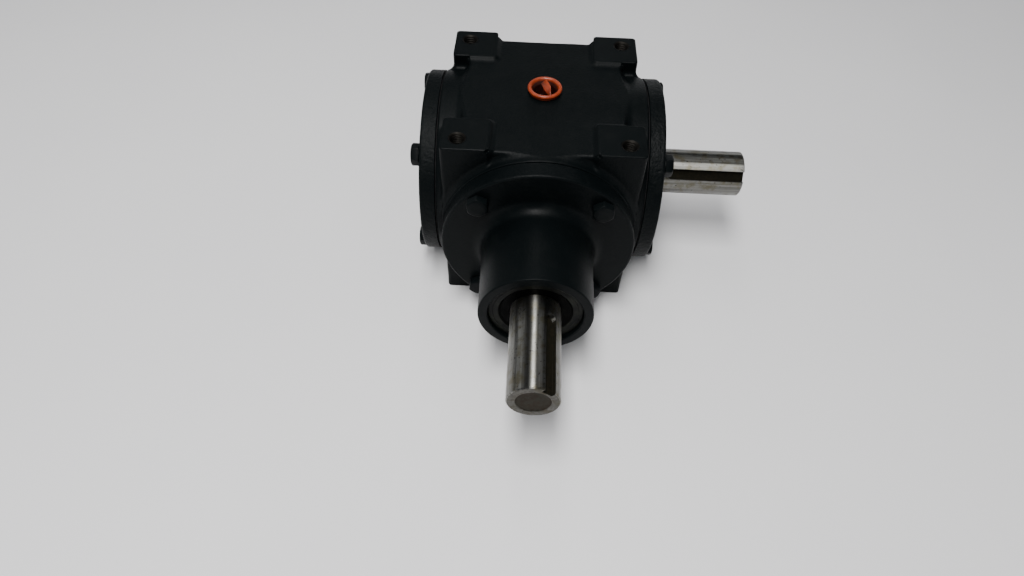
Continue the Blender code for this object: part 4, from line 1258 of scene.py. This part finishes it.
def make_gear(node, direction, sideways, phase, body, material):
    """A straight bevel gear whose teeth taper to the shaft crossing, with its hub and keyway."""
    front = min(abs(corner.dot(direction)) for corner in node_box(node))
    hub_end = reach(node, direction)
    first = np.array(sideways)
    second = np.array(direction.cross(sideways))
    along = np.array(direction)
    cone = PITCH_RADIUS / CONE_SIDE
    inner_scale = (cone - FACE_WIDTH) / cone
    loops = []
    for scale, drop in ((1.0, 0.5), (0.985, 0.0), (inner_scale + 0.012, 0.0), (inner_scale, 0.4)):
        loop = []
        for tooth in range(TEETH):
            middle = 2 * math.pi * (tooth + phase) / TEETH
            for height, angle in tooth_outline():
                height = min(height, MODULE - drop)
                turn = middle + angle
                outward = first * math.cos(turn) + second * math.sin(turn)
                station = (PITCH_RADIUS - height * CONE_SIDE) * scale
                loop.append(along * station + outward * (PITCH_RADIUS + height * CONE_SIDE) * scale)
        loops.append(loop)
    heel = along * (PITCH_RADIUS + 1.25 * MODULE * CONE_SIDE)
    toe = along * (PITCH_RADIUS - FACE_WIDTH * CONE_SIDE)
    points = [heel] + [point for loop in loops for point in loop] + [toe]
    rows = [[0]] + ring_rows(len(loops), len(loops[0]), 1) + [[len(points) - 1]]
    gear = closed_object(node + "_body", points, bands(rows), material)
    web = PITCH_RADIUS + 5
    outline = [(front, 0), (front, 21.5, 0.8), (web, 33, 0.5), (web + 5, 33, 0.8), (web + 5, 27, 1.5),
               (hub_end, 27, 1.0), (hub_end, 0)]
    hub = turned("hub", outline, direction, material, 144, False)
    combine(gear, [hub], "UNION")
    bore = SHAFT_RADIUS + 0.45
    cutter = turned("bore", [(front - 5, 0), (front - 5, bore), (hub_end + 5, bore), (hub_end + 5, 0)],
                    direction, material, 128, False)
    side = direction.cross(UP) * (KEYWAY / 2)
    start = direction * (front - 5) - side
    end = direction * (hub_end + 5) + side + UP * (SHAFT_RADIUS - KEYWAY_DEPTH + 7.3 + 2 * CLEARANCE)
    low = [min(a, b) for a, b in zip(start, end)]
    high = [max(a, b) for a, b in zip(start, end)]
    combine(gear, [cutter, solid_box("slot", low, high)])
    finish_piece(gear, body, [node], sharp=30)


# ---------------------------------------------------------------- stage, lights and camera
CAMERA_PLACE = Vector((-12.92, -440.65, 394.55))
CAMERA_YAW = math.radians(-0.74)
CAMERA_PITCH = math.radians(-51.65)
CAMERA_ROLL = math.radians(2.12)
CAMERA_LENS = 25.29


def make_camera():
    data = bpy.data.cameras.new("camera")
    data.lens = CAMERA_LENS
    data.sensor_width = 36
    data.clip_start = 0.01
    item = make_object("camera", data)
    forward = Vector((math.sin(CAMERA_YAW) * math.cos(CAMERA_PITCH),
                      math.cos(CAMERA_YAW) * math.cos(CAMERA_PITCH), math.sin(CAMERA_PITCH)))
    level = Vector((math.cos(CAMERA_YAW), -math.sin(CAMERA_YAW), 0))
    upright = level.cross(forward)
    right = math.cos(CAMERA_ROLL) * level + math.sin(CAMERA_ROLL) * upright
    up = math.cos(CAMERA_ROLL) * upright - math.sin(CAMERA_ROLL) * level
    turn = Matrix((right, up, -forward)).transposed().to_4x4()
    item.matrix_world = Matrix.Translation((CAMERA_PLACE + CROSSING) * MM) @ turn
    bpy.context.scene.camera = item


def make_area_light(name, place, turn, size, power, tint=(1, 1, 1)):
    data = bpy.data.lights.new(name, "AREA")
    data.shape = "RECTANGLE"
    data.size, data.size_y = size
    data.energy = power
    data.color = tint
    item = make_object(name, data)
    item.location = place
    item.rotation_euler = [math.radians(angle) for angle in turn]
    item.visible_camera = False


def make_stage():
    t = Tree("white_paper")
    fibre = t.noise(700, 5, 0.6)
    cloud = t.noise(3.0, 3, 0.5)
    tone = t.mix(t.ramp(cloud, 0.3, 0.7), (0.76, 0.76, 0.775), (0.80, 0.80, 0.81))
    t.surface(Base_Color=tone, Roughness=0.75, Normal=t.bump(fibre, 0.00004))
    mesh = bpy.data.meshes.new("floor")
    size = 4.0
    mesh.from_pydata([(-size, -size, 0), (size, -size, 0), (size, size, 0), (-size, size, 0)], [],
                     [(0, 1, 2, 3)])
    make_object("floor", mesh, t.material)


def make_light():
    """One long soft tube overhead, and a room that is pale low down and dark above."""
    world = bpy.data.worlds.new("studio")
    world.use_nodes = True
    nodes = world.node_tree.nodes
    links = world.node_tree.links
    place = nodes.new("ShaderNodeTexCoord")
    parts = nodes.new("ShaderNodeSeparateXYZ")
    fade = nodes.new("ShaderNodeMapRange")
    fade.interpolation_type = "SMOOTHSTEP"
    fade.inputs["From Min"].default_value = 0.22
    fade.inputs["From Max"].default_value = 0.62
    fade.inputs["To Min"].default_value = 0.30
    fade.inputs["To Max"].default_value = 0.085
    links.new(place.outputs["Generated"], parts.inputs[0])
    links.new(parts.outputs["Z"], fade.inputs["Value"])
    background = nodes["Background"]
    background.inputs["Color"].default_value = (0.93, 0.95, 1.0, 1.0)
    links.new(fade.outputs[0], background.inputs["Strength"])
    bpy.context.scene.world = world
    make_area_light("tube", (-0.12, -0.60, 1.35), (0, 0, 0), (0.30, 1.10), 32.0, (1, 0.99, 0.98))
    make_area_light("back_strip", (-0.12, 0.75, 1.35), (0, 0, 0), (0.16, 1.10), 3.4, (1, 0.99, 0.98))
    make_area_light("side_box", (0.55, 0.15, 1.35), (0, 0, 0), (0.50, 1.30), 1.3)
    make_area_light("left_fill", (-1.40, 0.30, 0.95), (0, -56, 0), (1.10, 1.60), 4.0)
    make_area_light("back_fill", (0.60, 1.70, 0.50), (-74, 0, 0), (1.00, 0.40), 1.6)


# ---------------------------------------------------------------- build
def main():
    random.seed(3)
    make_camera()
    paint = paint_material()
    fibre = rubber_material("gasket_fibre", (0.006, 0.006, 0.007), (0.012, 0.012, 0.012), 0.85)
    rubber = rubber_material("seal_rubber", (0.0013, 0.0016, 0.0018), (0.0050, 0.0062, 0.0022), 0.6)
    thread_steel = plain_metal("thread_steel", (0.018, 0.017, 0.015), 0.5)
    make_housing(paint)
    make_front_cover(paint)
    make_side_cover("right_cover", RIGHT, False, paint)
    make_side_cover("left_cover", LEFT, True, paint)
    for side, direction in (("front", FRONT), ("right", RIGHT), ("left", LEFT)):
        make_gasket(side + "_gasket", direction, fibre)
        for index in range(1, 5):
            make_screw(f"{side}_cover_screw_{index}", direction, paint, random.uniform(0, math.pi / 3))
    for sx in (-1, 1):
        for sy in (-1, 1):
            for end in (UP, DOWN):
                base = Vector((sx * MOUNT_OFFSET, sy * MOUNT_OFFSET, 0)) + end * PAD_TOP
                place = ("left" if sx < 0 else "right") + ("_front" if sy < 0 else "_back")
                name = f"{'top' if end == UP else 'foot'}_thread_{place}"
                make_thread(name, base, end, thread_steel)
    make_filler_plug(plastic_material())
    plug_steel = plain_metal("phosphated_steel", (0.12, 0.12, 0.125), 0.42, 0.9)
    make_pipe_plug("level_plug", 0.0, plug_steel)
    make_pipe_plug("drain_plug", -DRAIN_DROP, plug_steel)
    make_input_shaft(steel_material("input_steel", 1))
    make_output_shaft(steel_material("output_steel", 0))
    make_seal("input_oil_seal", FRONT, rubber)
    make_seal("output_oil_seal", RIGHT, rubber)

    gear_steel = plain_metal("gear_steel", (0.34, 0.33, 0.32), 0.28, 1.0, 0.3)
    bearing_steel = plain_metal("bearing_steel", (0.60, 0.60, 0.61), 0.14, 1.0, 0.3)
    cage_steel = plain_metal("pressed_steel", (0.46, 0.42, 0.36), 0.3)
    make_bearing("input_inner", FRONT, SHOULDER - CLEARANCE, -1, INPUT, bearing_steel, cage_steel)
    make_bearing("input_outer", FRONT, OUTER_CUP_BACK + CLEARANCE, 1, INPUT, bearing_steel, cage_steel)
    make_bearing("output_right", RIGHT, SHOULDER - CLEARANCE, -1, OUTPUT, bearing_steel, cage_steel)
    make_bearing("output_left", LEFT, SHOULDER - CLEARANCE, -1, OUTPUT, bearing_steel, cage_steel)
    make_garter_spring("input_seal_spring", FRONT, bearing_steel)
    make_garter_spring("output_seal_spring", RIGHT, bearing_steel)
    make_small_rings(bearing_steel, gear_steel)
    make_gear("input_bevel_gear", FRONT, LEFT, 0.0, INPUT, gear_steel)
    make_gear("output_bevel_gear", LEFT, FRONT, 0.5, OUTPUT, gear_steel)
    make_stage()
    make_light()


main()
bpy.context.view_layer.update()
import json
